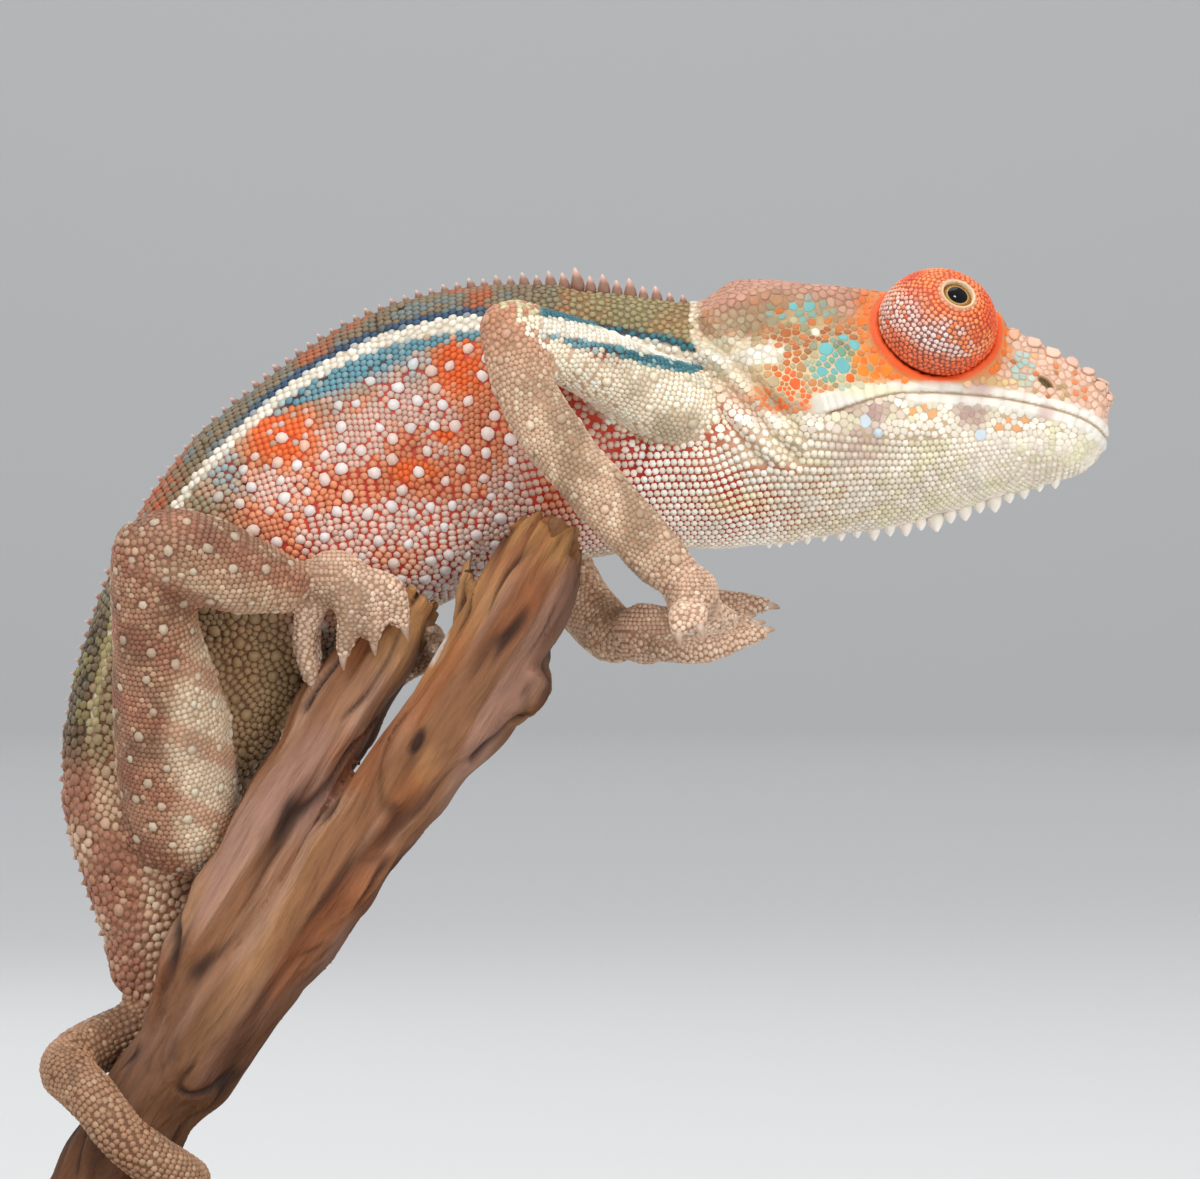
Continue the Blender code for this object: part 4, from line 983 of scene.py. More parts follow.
def thinned(points, size, tight=0.86):
    """Goes through the places in order and keeps each that is clear of those kept before."""
    tree = kd_tree(points)
    alive = np.ones(len(points), bool)
    kept = []
    reach = size * tight
    for i, p in enumerate(points.tolist()):
        if not alive[i]:
            continue
        kept.append(i)
        for _, j, distance in tree.find_range(p, reach[i] * 1.5):
            if j > i and distance < (reach[i] + reach[j]) / 2:
                alive[j] = False
    return np.array(kept)


class Coat:
    """A row for each scale: place, normal, two directions across, size, colours and place on the unwrap."""

    def __init__(self, points, normals, hint, size, colours, grooves, uv):
        self.points, self.normals, self.size, self.uv = points, normals, size, uv
        self.colours, self.grooves = colours, grooves
        self.first = unit(hint - normals * np.sum(hint * normals, axis=1, keepdims=True) + 1e-6)
        self.second = np.cross(normals, self.first)
        self.tree = kd_tree(points)


def cell_outlines(coat, here, first, second, sides, round_to, groove):
    """The reach of each chosen scale in each direction, stopped half way to its neighbours."""
    near = 9
    points, size = coat.points, coat.size
    chosen = np.flatnonzero(here)
    around = np.zeros((len(chosen), near), int)
    for k, (i, p) in enumerate(zip(chosen.tolist(), points[chosen].tolist())):
        around[k] = ([j for _, j, _ in coat.tree.find_n(p, near + 1) if j != i] + [i] * near)[:near]
    to = points[around] - points[chosen][:, None]
    u = np.einsum("ijk,ik->ij", to, first[chosen])
    v = np.einsum("ijk,ik->ij", to, second[chosen])
    distance = np.linalg.norm(to, axis=2)
    share = size[chosen][:, None] / (size[chosen][:, None] + size[around])
    turn = np.arange(sides) / sides * TAU
    facing = u[..., None] * np.cos(turn) + v[..., None] * np.sin(turn)
    facing = facing / np.maximum(distance, 1e-6)[..., None]
    reach = np.where(facing > 0.2, (distance * share)[..., None] / np.maximum(facing, 0.2), 9.0).min(1)
    return np.clip(np.minimum(reach - groove[:, None], (size[chosen] * round_to)[:, None]), 0.08, None)


def modelled_scale(sides, plates):
    """One scale as a low closed dome, or a plate with a rounded rim, modelled once: its points and faces."""
    deselect()
    bpy.ops.mesh.primitive_cylinder_add(vertices=sides, radius=1.0, depth=1.0, end_fill_type="NGON")
    scale = bpy.context.active_object
    shape = edit(scale)
    top = max(shape.faces, key=lambda f: f.calc_center_median().z)
    top.select = True
    bmesh.update_edit_mesh(scale.data)
    if plates:
        bpy.ops.mesh.inset(thickness=0.10, depth=0.24)
        bpy.ops.mesh.inset(thickness=0.18, depth=0.16)
        bpy.ops.mesh.poke(offset=0.05)
    else:
        bpy.ops.transform.resize(value=(0.88, 0.88, 1.0))
        bpy.ops.mesh.poke(offset=0.42)
    close(scale)
    points = np.array([v.co[:] for v in scale.data.vertices])
    faces = [tuple(p.vertices) for p in scale.data.polygons]
    bpy.data.objects.remove(scale)
    return points, faces


def spread_scales(name, coat, here, sides, plates, groove, height, round_to=0.60, turned=False):
    """Joined scales for the chosen places: each a dome fitted between its neighbours, with its own colour."""
    first, second = (coat.second, -coat.first) if turned else (coat.first, coat.second)
    reach = cell_outlines(coat, here, first, second, sides, round_to, groove)
    shape, faces = modelled_scale(sides, plates)
    angle = np.arctan2(shape[:, 1], shape[:, 0])
    radius = np.hypot(shape[:, 0], shape[:, 1])
    spoke = np.round(angle / TAU * sides).astype(int) % sides
    level = shape[:, 2] + 0.5
    level = level / level.max()
    # from here there is a row for each chosen scale and a column for each point of its shape
    points, normals, first, second, colours, grooves, uv = (rows[here][:, None] for rows in (
        coat.points, coat.normals, first, second, coat.colours, coat.grooves, coat.uv))
    out = (reach[:, spoke] * radius)[..., None]
    high = height[:, None] if plates else height[:, None] * reach.mean(1)[:, None] * 2
    up = (-0.12 + level * (0.12 + high))[..., None]
    aside = np.cos(angle)[None, :, None] * first + np.sin(angle)[None, :, None] * second
    place = points + out * aside + up * normals
    piece = joined_copies(name, place.reshape(-1, 3), faces, len(reach), len(shape))
    # The foot of each scale takes the colour of the skin between the scales; every scale is also painted a
    # little darker at its foot and a little lighter at its top, as painted shade and a painted highlight.
    tint = colours + (grooves - colours) * np.where(level < 0.12, 0.8, 0.0)[None, :, None]
    put_colour(piece, (tint * (1 + 0.08 * (level - 0.6))[None, :, None]).reshape(-1, 3))
    patch = np.stack((np.cos(angle) * radius, np.sin(angle) * radius), -1) * 0.0015
    write_uv(piece, (uv + patch[None]).reshape(-1, 2))
    return piece


def joined_copies(name, points, faces, count, corners):
    """One mesh of many copies of the same faces."""
    loops = np.concatenate([np.array(f) for f in faces])
    totals = np.array([len(f) for f in faces])
    every = (loops[None] + np.arange(count)[:, None] * corners).ravel()
    sizes = np.tile(totals, count)
    mesh = bpy.data.meshes.new(name)
    mesh.vertices.add(len(points))
    mesh.vertices.foreach_set("co", (points * MM).astype(np.float32).ravel())
    mesh.loops.add(len(every))
    mesh.loops.foreach_set("vertex_index", every.astype(np.int32))
    mesh.polygons.add(len(sizes))
    mesh.polygons.foreach_set("loop_start", np.concatenate(((0,), np.cumsum(sizes)[:-1])).astype(np.int32))
    mesh.update(calc_edges=True)
    mesh.validate()
    mesh.shade_smooth()
    return linked(name, mesh)


def write_uv(piece, point_uv):
    """Writes the unwrap named OFBake, from one place for each point."""
    vertex = values(piece.data.loops, "vertex_index", kind=np.int32)
    layer = piece.data.uv_layers.new(name="OFBake")
    layer.data.foreach_set("uv", point_uv[vertex].astype(np.float32).ravel())


def settle_on(skin, points, reach):
    """Moves points on to the skin: which were near it, where they land, the normals and the unwrap there."""
    corners, normals = coordinates(skin)
    triangles = values(skin.data.loops, "vertex_index", kind=np.int32).reshape(-1, 3)
    uv = values(skin.data.uv_layers["OFBake"].data, "uv", 2).reshape(-1, 3, 2)
    tree = BVHTree.FromPolygons((corners * MM).tolist(), triangles.tolist(), all_triangles=True)
    found = [tree.find_nearest(p, reach * MM) for p in (points * MM).tolist()]
    near = np.array([f[0] is not None for f in found])
    place = np.array([f[0][:] for f in found if f[0] is not None]) / MM
    face = np.array([f[2] for f in found if f[0] is not None])
    a, b, c = (corners[triangles[face, k]] for k in range(3))
    ab, ac, ap = b - a, c - a, place - a
    d00, d01, d11 = (ab * ab).sum(1), (ab * ac).sum(1), (ac * ac).sum(1)
    d20, d21 = (ap * ab).sum(1), (ap * ac).sum(1)
    scale = np.maximum(d00 * d11 - d01 * d01, 1e-12)
    v, w = (d11 * d20 - d01 * d21) / scale, (d00 * d21 - d01 * d20) / scale
    weight = np.clip(np.stack((1 - v - w, v, w), -1), 0, 1)[..., None]
    normal = unit((normals[triangles[face]] * weight).sum(1))
    return near, place, normal, (uv[face] * weight).sum(1)


def row_marks(rings, step):
    """Places in alternate rows round rings, a step apart."""
    length = run_length(rings.mean(1))
    closed = np.concatenate((rings, rings[:, :1]), axis=1)
    out = []
    for k, s in enumerate(np.arange(step / 2, length[-1], step * 0.87)):
        i = int(np.clip(np.searchsorted(length, s), 1, len(length) - 1))
        t = (s - length[i - 1]) / max(length[i] - length[i - 1], 1e-9)
        ring = closed[i - 1] * (1 - t) + closed[i] * t
        girth = run_length(ring)
        count = int(girth[-1] / step)
        if count < 3:
            continue
        marks = (np.arange(count) + 0.5 * (k % 2)) / count * girth[-1]
        out.append(at_marks(marks, girth, ring))
    return np.vstack(out)


def throat_rows(step):
    """Places in long rows that follow the jaw along the throat, from the snout to the shoulder."""
    at = np.linspace(0.4, 11.4, 300)
    turn = np.linspace(0.28, 0.5, 200)
    girth = run_length(body_surface(np.full(200, 6.0), turn * TAU))
    out = []
    for k, g in enumerate(np.arange(0, girth[-1], step * 1.06)):
        line = body_surface(at, np.full(300, np.interp(g, girth, turn) * TAU))
        length = run_length(line, np.interp(line[1:, 0], (30, 50), (1.0, 0.82)))
        marks = np.arange(step * 0.47 * (k % 2), length[-1], step * 0.94)
        row = at_marks(marks, length, line)
        row = row[row[:, 2] < jaw_line(row[:, 0])]
        out += [row, row * (1, -1, 1)]
    return np.vstack(out[::-1])


def bead_places(skin, guide, growth, generator):
    """Places of the larger round scales: close on flank and cheek, further apart on the legs and the rump."""
    places = scattered(skin, BEAD_TRIES, generator)
    label, _, place, turn = guide.look(places)
    body = on(label, "body")
    flank = body & (place > 11.5) & (place < RUMP_START) & (turn > 0.25) & (turn < 0.85)
    cheek = body & (place < 7.6) & (turn > 0.15) & (above_mouth(places[:, [0, 2]]) > 1.5)
    chosen = flank | cheek | on(label, *LEGS) | (body & (place > RUMP_START))
    step = np.where(flank, 1.85, np.where(cheek, 1.7, 2.6))[chosen]
    places = places[chosen]
    return places[thinned(places, step * growth, 1.0)]


def plate_places(skin):
    """Places of the plates of cheek and jaw on both sides, where lines from the side meet the skin."""
    bpy.context.view_layer.update()
    return np.array([skin.ray_cast((x * MM, side * 0.03, z * MM), (0, -side, 0))[1][:]
                     for x, z, _, _ in FACE_PLATES for side in (-1, 1)]) / MM


def ridge_places():
    """Places of the row of plates along the snout's ridge, on both sides."""
    line = smooth_rows(CANTHUS, (np.arange(9) + 0.5) / 8.5 * (len(CANTHUS) - 1))
    return np.array([(x, side * (4.4 - 0.3 * k), z + 0.4)
                     for k, (x, z) in enumerate(line) for side in (-1, 1)])


def coat_rows(forms, guide, growth):
    """Places in even rows round each form, wherever its scales lie as far apart as the rows do."""
    rows = []
    for name, rings, _, _ in forms:
        for step in (0.62, 0.68, 0.74) if name == "body" else (0.50, 0.56, 0.61, 0.69):
            marks = row_marks(rings, step * growth)
            label, _, place, turn = guide.look(marks)
            plain = spacing(marks, label, place, turn, np.full(len(marks), 0.5))
            fits = (np.abs(plain - step) < 0.035) & on(label, name)
            if name == "body":
                fits &= place > THROAT_END
            rows.append(marks[fits])
    return rows


def all_places(skin, forms, guide, growth, generator):
    """Every place that a scale may take, the most wanted first, and the kinds and sizes already known."""
    beads, plates, ridge = bead_places(skin, guide, growth, generator), plate_places(skin), ridge_places()
    kinds = np.repeat((PLATE, 0, BEAD), [len(plates), len(ridge), len(beads)])
    plate_sizes = np.repeat([size for _, _, size, _ in FACE_PLATES], 2)
    bead_sizes = 0.82 + 0.45 * generator.random(len(beads))
    sizes = np.concatenate((plate_sizes, np.full(len(ridge), 1.35), bead_sizes))
    rows = (throat_rows(0.74 * growth), *coat_rows(forms, guide, growth))
    points = np.vstack((plates, ridge, beads, *rows, scattered(skin, SCALE_TRIES, generator)))
    return points, *(np.pad(known, (0, len(points) - len(known))) for known in (kinds, sizes))


def mark_scales(colours, points, label, place, pick, kinds, face):
    """Gives the beads and the single plates their own colours."""
    body = on(label, "body")
    beads = (kinds == BEAD) & body & ~face & (place < RUMP_START)
    pale = (0.55 + 0.3 * pick[beads]) * fade(points[beads] @ (1.0, 0.0, 0.75) - 75, -28, -20)
    colours[beads] = mix(colours[beads], (0.90, 0.89, 0.88), pale)
    spots = (kinds == BEAD) & ~body
    pale = np.where(on(label[spots], "thigh", "shank"), 0.5, 0.12)
    colours[spots] = mix(colours[spots], (0.82, 0.82, 0.74), pale)
    for x, z, _, tint in FACE_PLATES:
        colours[(kinds == PLATE) & (np.hypot(points[:, 0] - x, points[:, 2] - z) < 0.55)] = tint


# ---- materials


def feed(tree, node, inputs):
    """Gives a node's inputs their values, or the sockets that feed them."""
    for key, value in inputs.items():
        if isinstance(value, bpy.types.NodeSocket):
            tree.links.new(value, node.inputs[key])
        else:
            node.inputs[key].default_value = value


def put(tree, kind, inputs=None, **settings):
    """Adds a node with its settings and inputs."""
    node = tree.nodes.new(kind)
    for key, value in settings.items():
        setattr(node, key, value)
    feed(tree, node, inputs or {})
    return node


def multiplied(tree, colour, other):
    """One colour times another."""
    return put(tree, "ShaderNodeMix", {"Factor": 1.0, "A": colour, "B": other}, data_type="RGBA",
               blend_type="MULTIPLY").outputs["Result"]


def bumped(tree, height, strength, distance):
    """The normal of a surface that a height raises."""
    bump = put(tree, "ShaderNodeBump", {"Height": height, "Strength": strength, "Distance": distance})
    return bump.outputs["Normal"]


def new_material(name):
    material = bpy.data.materials.new(name)
    material.use_nodes = True
    return material, material.node_tree, material.node_tree.nodes["Principled BSDF"]


def effect(name, inputs, outputs):
    """A new shader group with named sockets, and the nodes at its two ends."""
    group = bpy.data.node_groups.new(name, "ShaderNodeTree")
    for label, kind, value in inputs:
        group.interface.new_socket(name=label, in_out="INPUT", socket_type=kind).default_value = value
    for label, kind in outputs:
        group.interface.new_socket(name=label, in_out="OUTPUT", socket_type=kind)
    return group, group.nodes.new("NodeGroupInput"), group.nodes.new("NodeGroupOutput")


def pebbled():
    """The fine grain of dry hide and horn: a height, a shade that varies over the surface, and its wear."""
    if "Pebbled grain" in bpy.data.node_groups:
        return bpy.data.node_groups["Pebbled grain"]
    group, start, end = effect(
        "Pebbled grain",
        (("Size", "NodeSocketFloat", 3000.0), ("Patch Size", "NodeSocketFloat", 350.0)),
        (("Height", "NodeSocketFloat"), ("Shade", "NodeSocketColor"), ("Wear", "NodeSocketFloat")),
    )
    place = put(group, "ShaderNodeTexCoord").outputs["Object"]
    here = {"Vector": place, "Scale": start.outputs["Size"]}
    cells = put(group, "ShaderNodeTexVoronoi", here, feature="F1")
    fine = put(group, "ShaderNodeTexNoise", {**here, "Detail": 3.0}).outputs["Fac"]
    patches = put(group, "ShaderNodeTexNoise", {
        "Vector": place, "Scale": start.outputs["Patch Size"], "Detail": 2.0})
    add = put(group, "ShaderNodeMath", {
        0: cells.outputs["Distance"], 1: -0.7, 2: fine}, operation="MULTIPLY_ADD")
    shade = put(group, "ShaderNodeMapRange", {
        "Value": patches.outputs["Fac"], "From Min": 0.3, "From Max": 0.7, "To Min": 0.90, "To Max": 1.06})
    feed(group, end, {"Height": add.outputs[0], "Shade": shade.outputs["Result"], "Wear": fine})
    return group


def wood_grain():
    """Long fibres and darker streaks, from coordinates laid along the grain: colour, height and roughness."""
    if "Wood grain" in bpy.data.node_groups:
        return bpy.data.node_groups["Wood grain"]
    group, start, end = effect(
        "Wood grain",
        (("Vector", "NodeSocketVector", (0, 0, 0)), ("Light", "NodeSocketColor", (0.3, 0.2, 0.1, 1)),
         ("Dark", "NodeSocketColor", (0.1, 0.05, 0.03, 1)), ("Size", "NodeSocketFloat", 300.0),
         ("Contrast", "NodeSocketFloat", 1.0)),
        (("Color", "NodeSocketColor"), ("Height", "NodeSocketFloat"), ("Roughness", "NodeSocketFloat")),
    )
    grain, size = start.outputs["Vector"], start.outputs["Size"]
    broad = put(group, "ShaderNodeTexNoise", {
        "Vector": grain, "Scale": size, "Detail": 5.0, "Distortion": 0.2})
    finer = put(group, "ShaderNodeMath", {0: size, 1: 6.0}, operation="MULTIPLY")
    fibres = put(group, "ShaderNodeTexNoise", {
        "Vector": grain, "Scale": finer.outputs[0], "Detail": 6.0}).outputs["Fac"]
    both = put(group, "ShaderNodeMath", {0: broad.outputs["Fac"], 1: fibres}, operation="ADD").outputs[0]
    centre = put(group, "ShaderNodeMath", {0: both, 1: 1.0}, operation="SUBTRACT")
    strength = put(group, "ShaderNodeMath", {0: centre.outputs[0], 1: start.outputs["Contrast"], 2: 0.5},
                   operation="MULTIPLY_ADD")
    blend = put(group, "ShaderNodeMix", {
        "Factor": strength.outputs[0], "A": start.outputs["Dark"], "B": start.outputs["Light"],
    }, data_type="RGBA")
    rough = put(group, "ShaderNodeMapRange", {"Value": fibres, "To Min": 0.45, "To Max": 0.85})
    feed(group, end, {"Color": blend.outputs["Result"], "Height": both, "Roughness": rough.outputs["Result"]})
    return group


def grained(tree, light, dark, size, contrast, turn, stretch):
    """Outputs of the wood grain, on object coordinates turned to run with it and drawn out along it."""
    place = put(tree, "ShaderNodeTexCoord").outputs["Object"]
    laid = put(tree, "ShaderNodeMapping", {"Vector": place, "Rotation": turn}, vector_type="POINT")
    drawn = put(tree, "ShaderNodeMapping", {
        "Vector": laid.outputs["Vector"], "Scale": stretch}, vector_type="POINT")
    return put(tree, "ShaderNodeGroup", {
        "Vector": drawn.outputs["Vector"], "Light": light, "Dark": dark, "Size": size, "Contrast": contrast,
    }, node_tree=wood_grain()).outputs


def rgba(colour):
    return (*linear(np.array(colour, float)), 1.0)


def hide_material(name, rough, coat, pebble, depth, glow=0.10):
    """Scaly hide: tinted by its markings, with a fine grain, a soft sheen and a little light through it."""
    material, tree, shader = new_material(name)
    tint = put(tree, "ShaderNodeAttribute", attribute_name="Tint")
    grain = put(tree, "ShaderNodeGroup", {"Size": pebble}, node_tree=pebbled()).outputs
    gloss = put(tree, "ShaderNodeMapRange", {
        "Value": grain["Wear"], "To Min": rough - 0.08, "To Max": rough + 0.10})
    feed(tree, shader, {
        "Base Color": multiplied(tree, tint.outputs["Color"], grain["Shade"]),
        "Normal": bumped(tree, grain["Height"], 0.5, depth),
        "Roughness": gloss.outputs["Result"],
        "Coat Weight": coat,
        "Coat Roughness": 0.35,
        "Subsurface Weight": glow,
        "Subsurface Radius": (1.0, 0.45, 0.30),
        "Subsurface Scale": 0.0006,
        "Specular IOR Level": 0.45,
    })
    return material


# ---- turrets, cones and wood


def turret_frame(side):
    """Across, up and ahead along a turret's line of sight, and its middle."""
    ahead = unit(np.array((SIGHT[0], side * SIGHT[1], SIGHT[2])))
    across = unit(np.cross(ahead, (0, 0, 1.0)))
    up = np.cross(across, ahead)
    return across, up, ahead, np.array((TURRET_CENTRE[0], side * TURRET_CENTRE[1], TURRET_CENTRE[2]))


def turret_local(points, side):
    across, up, ahead, middle = turret_frame(side)
    away = points - middle
    return np.stack((away @ across / TURRET_STRETCH, away @ up, away @ ahead), -1)


def turret_place(points, side):
    """Places of a turret's own coordinates in the model."""
    across, up, ahead, middle = turret_frame(side)
    return middle + points[:, :1] * across * TURRET_STRETCH + points[:, 1:2] * up + points[:, 2:] * ahead


def turret_profile(opening):
    """Radius and height from the back's middle to the middle of the recess under the lid."""
    back = [(0.0, -1.1), (TURRET_SKIN * 0.8, -1.1)]
    leans = np.radians(np.linspace(101, 21.5, 42))
    dome = [(TURRET_SKIN * math.sin(lean), TURRET_SKIN * math.cos(lean)) for lean in leans]
    lid = [(opening + out, LID_RIM - down) for out, down in (
        (0.34, 0.13), (0.25, 0.04), (0.16, 0), (0.06, 0.03), (0, 0.14), (-0.02, 0.45), (0.04, 0.9))]
    return [*back, *dome, *lid, (0.0, LID_RIM - 1.0)]


def spun_piece(name, profile, steps):
    """Turns a profile of radius and height, in millimetres, round the upright axis."""
    edges = [(i, i + 1) for i in range(len(profile) - 1)]
    piece = mesh_piece(name, [(r, 0, h) for r, h in profile], [], edges)
    edit(piece, "SELECT")
    bpy.ops.mesh.spin(steps=steps, angle=TAU, center=(0, 0, 0), axis=(0, 0, 1))
    bpy.ops.mesh.select_all(action="SELECT")
    bpy.ops.mesh.remove_doubles(threshold=0.000004)
    bpy.ops.mesh.normals_make_consistent(inside=False)
    close(piece)
    piece.data.shade_smooth()
    return piece


def place_turret(piece, side):
    """Puts a piece that was turned about the upright axis on a turret's line of sight."""
    set_points(piece, turret_place(coordinates(piece)[0], side))
    outward(piece)


def paint_turret(points, local, pick):
    """Scale and skin colours of a turret."""
    rel = points[:, [0, 2]] - (TURRET_CENTRE[0], TURRET_CENTRE[2])
    x, z = rel.T
    r = np.hypot(local[:, 0], local[:, 1])
    glow = bpy.context.scene.chameleon_markings.glow
    scale = mix(glow, (1.0, 0.55, 0.30), fade(noise(points, 2.0, 51), 0.35, 0.7))
    pale = blobs(rel, (-0.2, -2.2, 4.0, 2.7, 0.4), (-4.0, 0.0, 2.8, 3.4, 0.5, 0.9))
    often = np.where(x < 0.8, fade(pick, 0.0, 0.16), fade(pick, 0.35, 0.6))
    scale = mix(scale, mix((0.96, 0.86, 0.83), (0.84, 0.71, 0.67), fade(pick, 0.5, 0.9)), pale * often)
    skin = mix((0.74, 0.27, 0.14), (0.56, 0.33, 0.28), pale)
    scale = mix(scale, (0.93, 0.36, 0.16), fade(r, 5.0, 5.5) * fade(z, 0.5, -2.0) * 0.8)
    lid = fade(r, 2.15, 1.50)
    scale = mix(scale, (0.92, 0.82, 0.68), lid)
    skin = mix(skin, (0.90, 0.79, 0.63), lid)
    # Painted shade: near-black skin in the recess under the lid, behind the eyeball.
    skin = mix(skin, (0.10, 0.06, 0.04), fade(r, 1.38, 1.20))
    return scale, skin


def make_turret_scales(name, side, settings):
    """Small scales in rings over a turret, up to the lid."""
    across, up, ahead, _ = turret_frame(side)
    generator = np.random.default_rng(settings.seed + 20)
    step = 0.54
    polar, around = [], []
    for k, lean in enumerate(np.arange(math.radians(19.0), math.radians(99), step * 0.87 / TURRET_SKIN)):
        count = max(6, int(TAU * TURRET_SKIN * math.sin(lean) / step))
        turns = np.arange(count) + 0.5 * (k % 2) + 0.12 * generator.standard_normal(count)
        around.append(turns / count * TAU)
        polar.append(np.full(count, lean) + 0.012 * generator.standard_normal(count))
    polar, around = np.concatenate(polar), np.concatenate(around)
    out = np.stack((np.sin(polar) * np.cos(around), np.sin(polar) * np.sin(around), np.cos(polar)), -1)
    normals = unit(out[:, :1] * across / TURRET_STRETCH + out[:, 1:2] * up + out[:, 2:] * ahead)
    out = out * TURRET_SKIN
    points = turret_place(out, side)
    size = np.full(len(points), step) * (1 + 0.08 * generator.standard_normal(len(points)).clip(-1.5, 1.5))
    pick = generator.random(len(points))
    colours, grooves = paint_turret(points, out, pick)
    share = polar / math.radians(101) * 0.48
    uv = np.stack((0.5 + share * np.cos(around), 0.5 + share * np.sin(around)), -1)
    coat = Coat(points, normals, np.tile(ahead, (len(points), 1)) + 0.01, size,
                colours * (1 + 0.12 * (pick - 0.5))[:, None], grooves, uv)
    piece = spread_scales(name, coat, np.full(len(points), True), 6, False, np.full(len(points), 0.018),
                          np.full(len(points), 0.22))
    dress(piece, hide_material(f"Turret scales {side}", 0.38, 0.15, 6000.0, 0.00003))


def cone_rings(foot, up, along, length, radius, lean):
    """Rings of one pointed cone, oval along the body, with its tip leaning back."""
    share = np.array((0.0, 0.35, 0.6, 0.75, 0.9, 1.0))
    thick = np.interp(share, (0, 0.35, 0.6, 0.85, 1.0), (0.95, 1.0, 0.80, 0.42, 0.14)) * radius
    across = np.cross(up, along)
    turn = np.arange(8) / 8 * TAU
    return np.array([
        foot + up * s * length + along * lean * s**2
        + (np.cos(turn)[:, None] * along * 1.15 + np.sin(turn)[:, None] * across * 0.85) * t
        for s, t in zip(share, thick)])


def cones_piece(name, shapes, colours):
    """One mesh of many ringed shapes, each shaded from its foot's colour to its tip's."""
    points, faces, tints, start = [], [], [], 0
    for rings, (foot, tip) in zip(shapes, colours):
        count, sides = rings.shape[:2]
        points.append(rings.reshape(-1, 3))
        faces += [[v + start for v in face] for face in ring_faces(count, sides)]
        share = np.repeat(np.linspace(0, 1, count), sides)
        tints.append(mix(foot, tip, fade(share, 0.3, 0.9)))
        start += count * sides
    piece = outward(mesh_piece(name, np.vstack(points), faces))
    put_colour(piece, np.vstack(tints))
    return piece


def grain_coordinates(points):
    """Places counted across and along the branch, whose third axis runs with its fibres."""
    ahead = unit(np.array(FIBRES))
    across = unit(np.cross(ahead, (0, 1.0, 0)))
    return np.stack((points @ across, points @ np.cross(ahead, across), points @ ahead), -1)


# ---- settings


def shade_of(name, about, colour):
    return FloatVectorProperty(
        name=name, description=about, subtype="COLOR_GAMMA", size=3, min=0, max=1, default=colour)


def length_of(name, about, value, low, high):
    return FloatProperty(
        name=name, description=about, default=value, min=low, max=high, unit="LENGTH", precision=5)


class ChameleonSkin(bpy.types.PropertyGroup):
    """Sizes of the skin and its scales."""

    mesh_size: length_of("Skin mesh size", "Size of the squares of the fused skin", 0.00058, 0.0004, 0.001)
    coat_depth: length_of("Coat depth", "How far the skin lies inside the solids, as room for the scales",
                          0.00022, 0.0, 0.001)
    scale_size: FloatProperty(
        name="Scale size", description="Size of every scale, as a share of its usual size", default=1.0,
        min=0.8, max=1.6, subtype="FACTOR")
    seed: IntProperty(name="Seed", description="Starts the random choices", default=7, min=0)


class ChameleonMarkings(bpy.types.PropertyGroup):
    """Main colours of the markings."""

    flank: shade_of("Flank skin", "Red skin between the scales of the flank", (0.80, 0.29, 0.16))
    beads: shade_of("Flank scales", "Pale scales of the flank", (0.88, 0.76, 0.73))
    stripe: shade_of("Stripe", "Long pale stripe on each side", (0.92, 0.89, 0.84))
    glow: shade_of("Turret", "Skin of the eye turrets", (0.95, 0.38, 0.16))
    plates: shade_of("Cheek plates", "Blue-green plates of the cheek", (0.42, 0.73, 0.71))


class ChameleonEyes(bpy.types.PropertyGroup):
    """Sizes and colours of the eyes."""

    opening: length_of("Opening", "Radius of the opening in the lid", 0.00146, 0.0008, 0.0017)
    pupil: length_of("Pupil", "Radius of the pupil", 0.00097, 0.0004, 0.0012)
    iris: shade_of("Iris", "Ring round the pupil", (0.68, 0.47, 0.23))


class ChameleonPerch(bpy.types.PropertyGroup):
    """Finish of the branch and the stand."""

    mesh_size: length_of("Branch mesh size", "Size of the squares of the branch", 0.00036, 0.0003, 0.001)
    bark_depth: length_of("Bark relief", "Depth of the cracks in the branch", 0.0005, 0.0, 0.001)
    bark: shade_of("Bark", "Main colour of the branch", (0.57, 0.39, 0.26))
    stain: shade_of("Stand stain", "Dark stain of the stand's base", (0.24, 0.15, 0.10))


class ChameleonStage(bpy.types.PropertyGroup):
    """Floor, backdrop, lights and camera."""

    paper: shade_of("Backdrop", "Plain pale paper of the floor and backdrop", (0.87, 0.87, 0.86))
    key: FloatProperty(
        name="Key light", description="Power of the main soft light", default=4.3, min=0.0, unit="POWER")
    distance: FloatProperty(
        name="Camera distance", description="From the camera to the middle of the animal",
        default=CAMERA_DISTANCE, min=0.3, max=2.0, unit="LENGTH")


# ---- operators


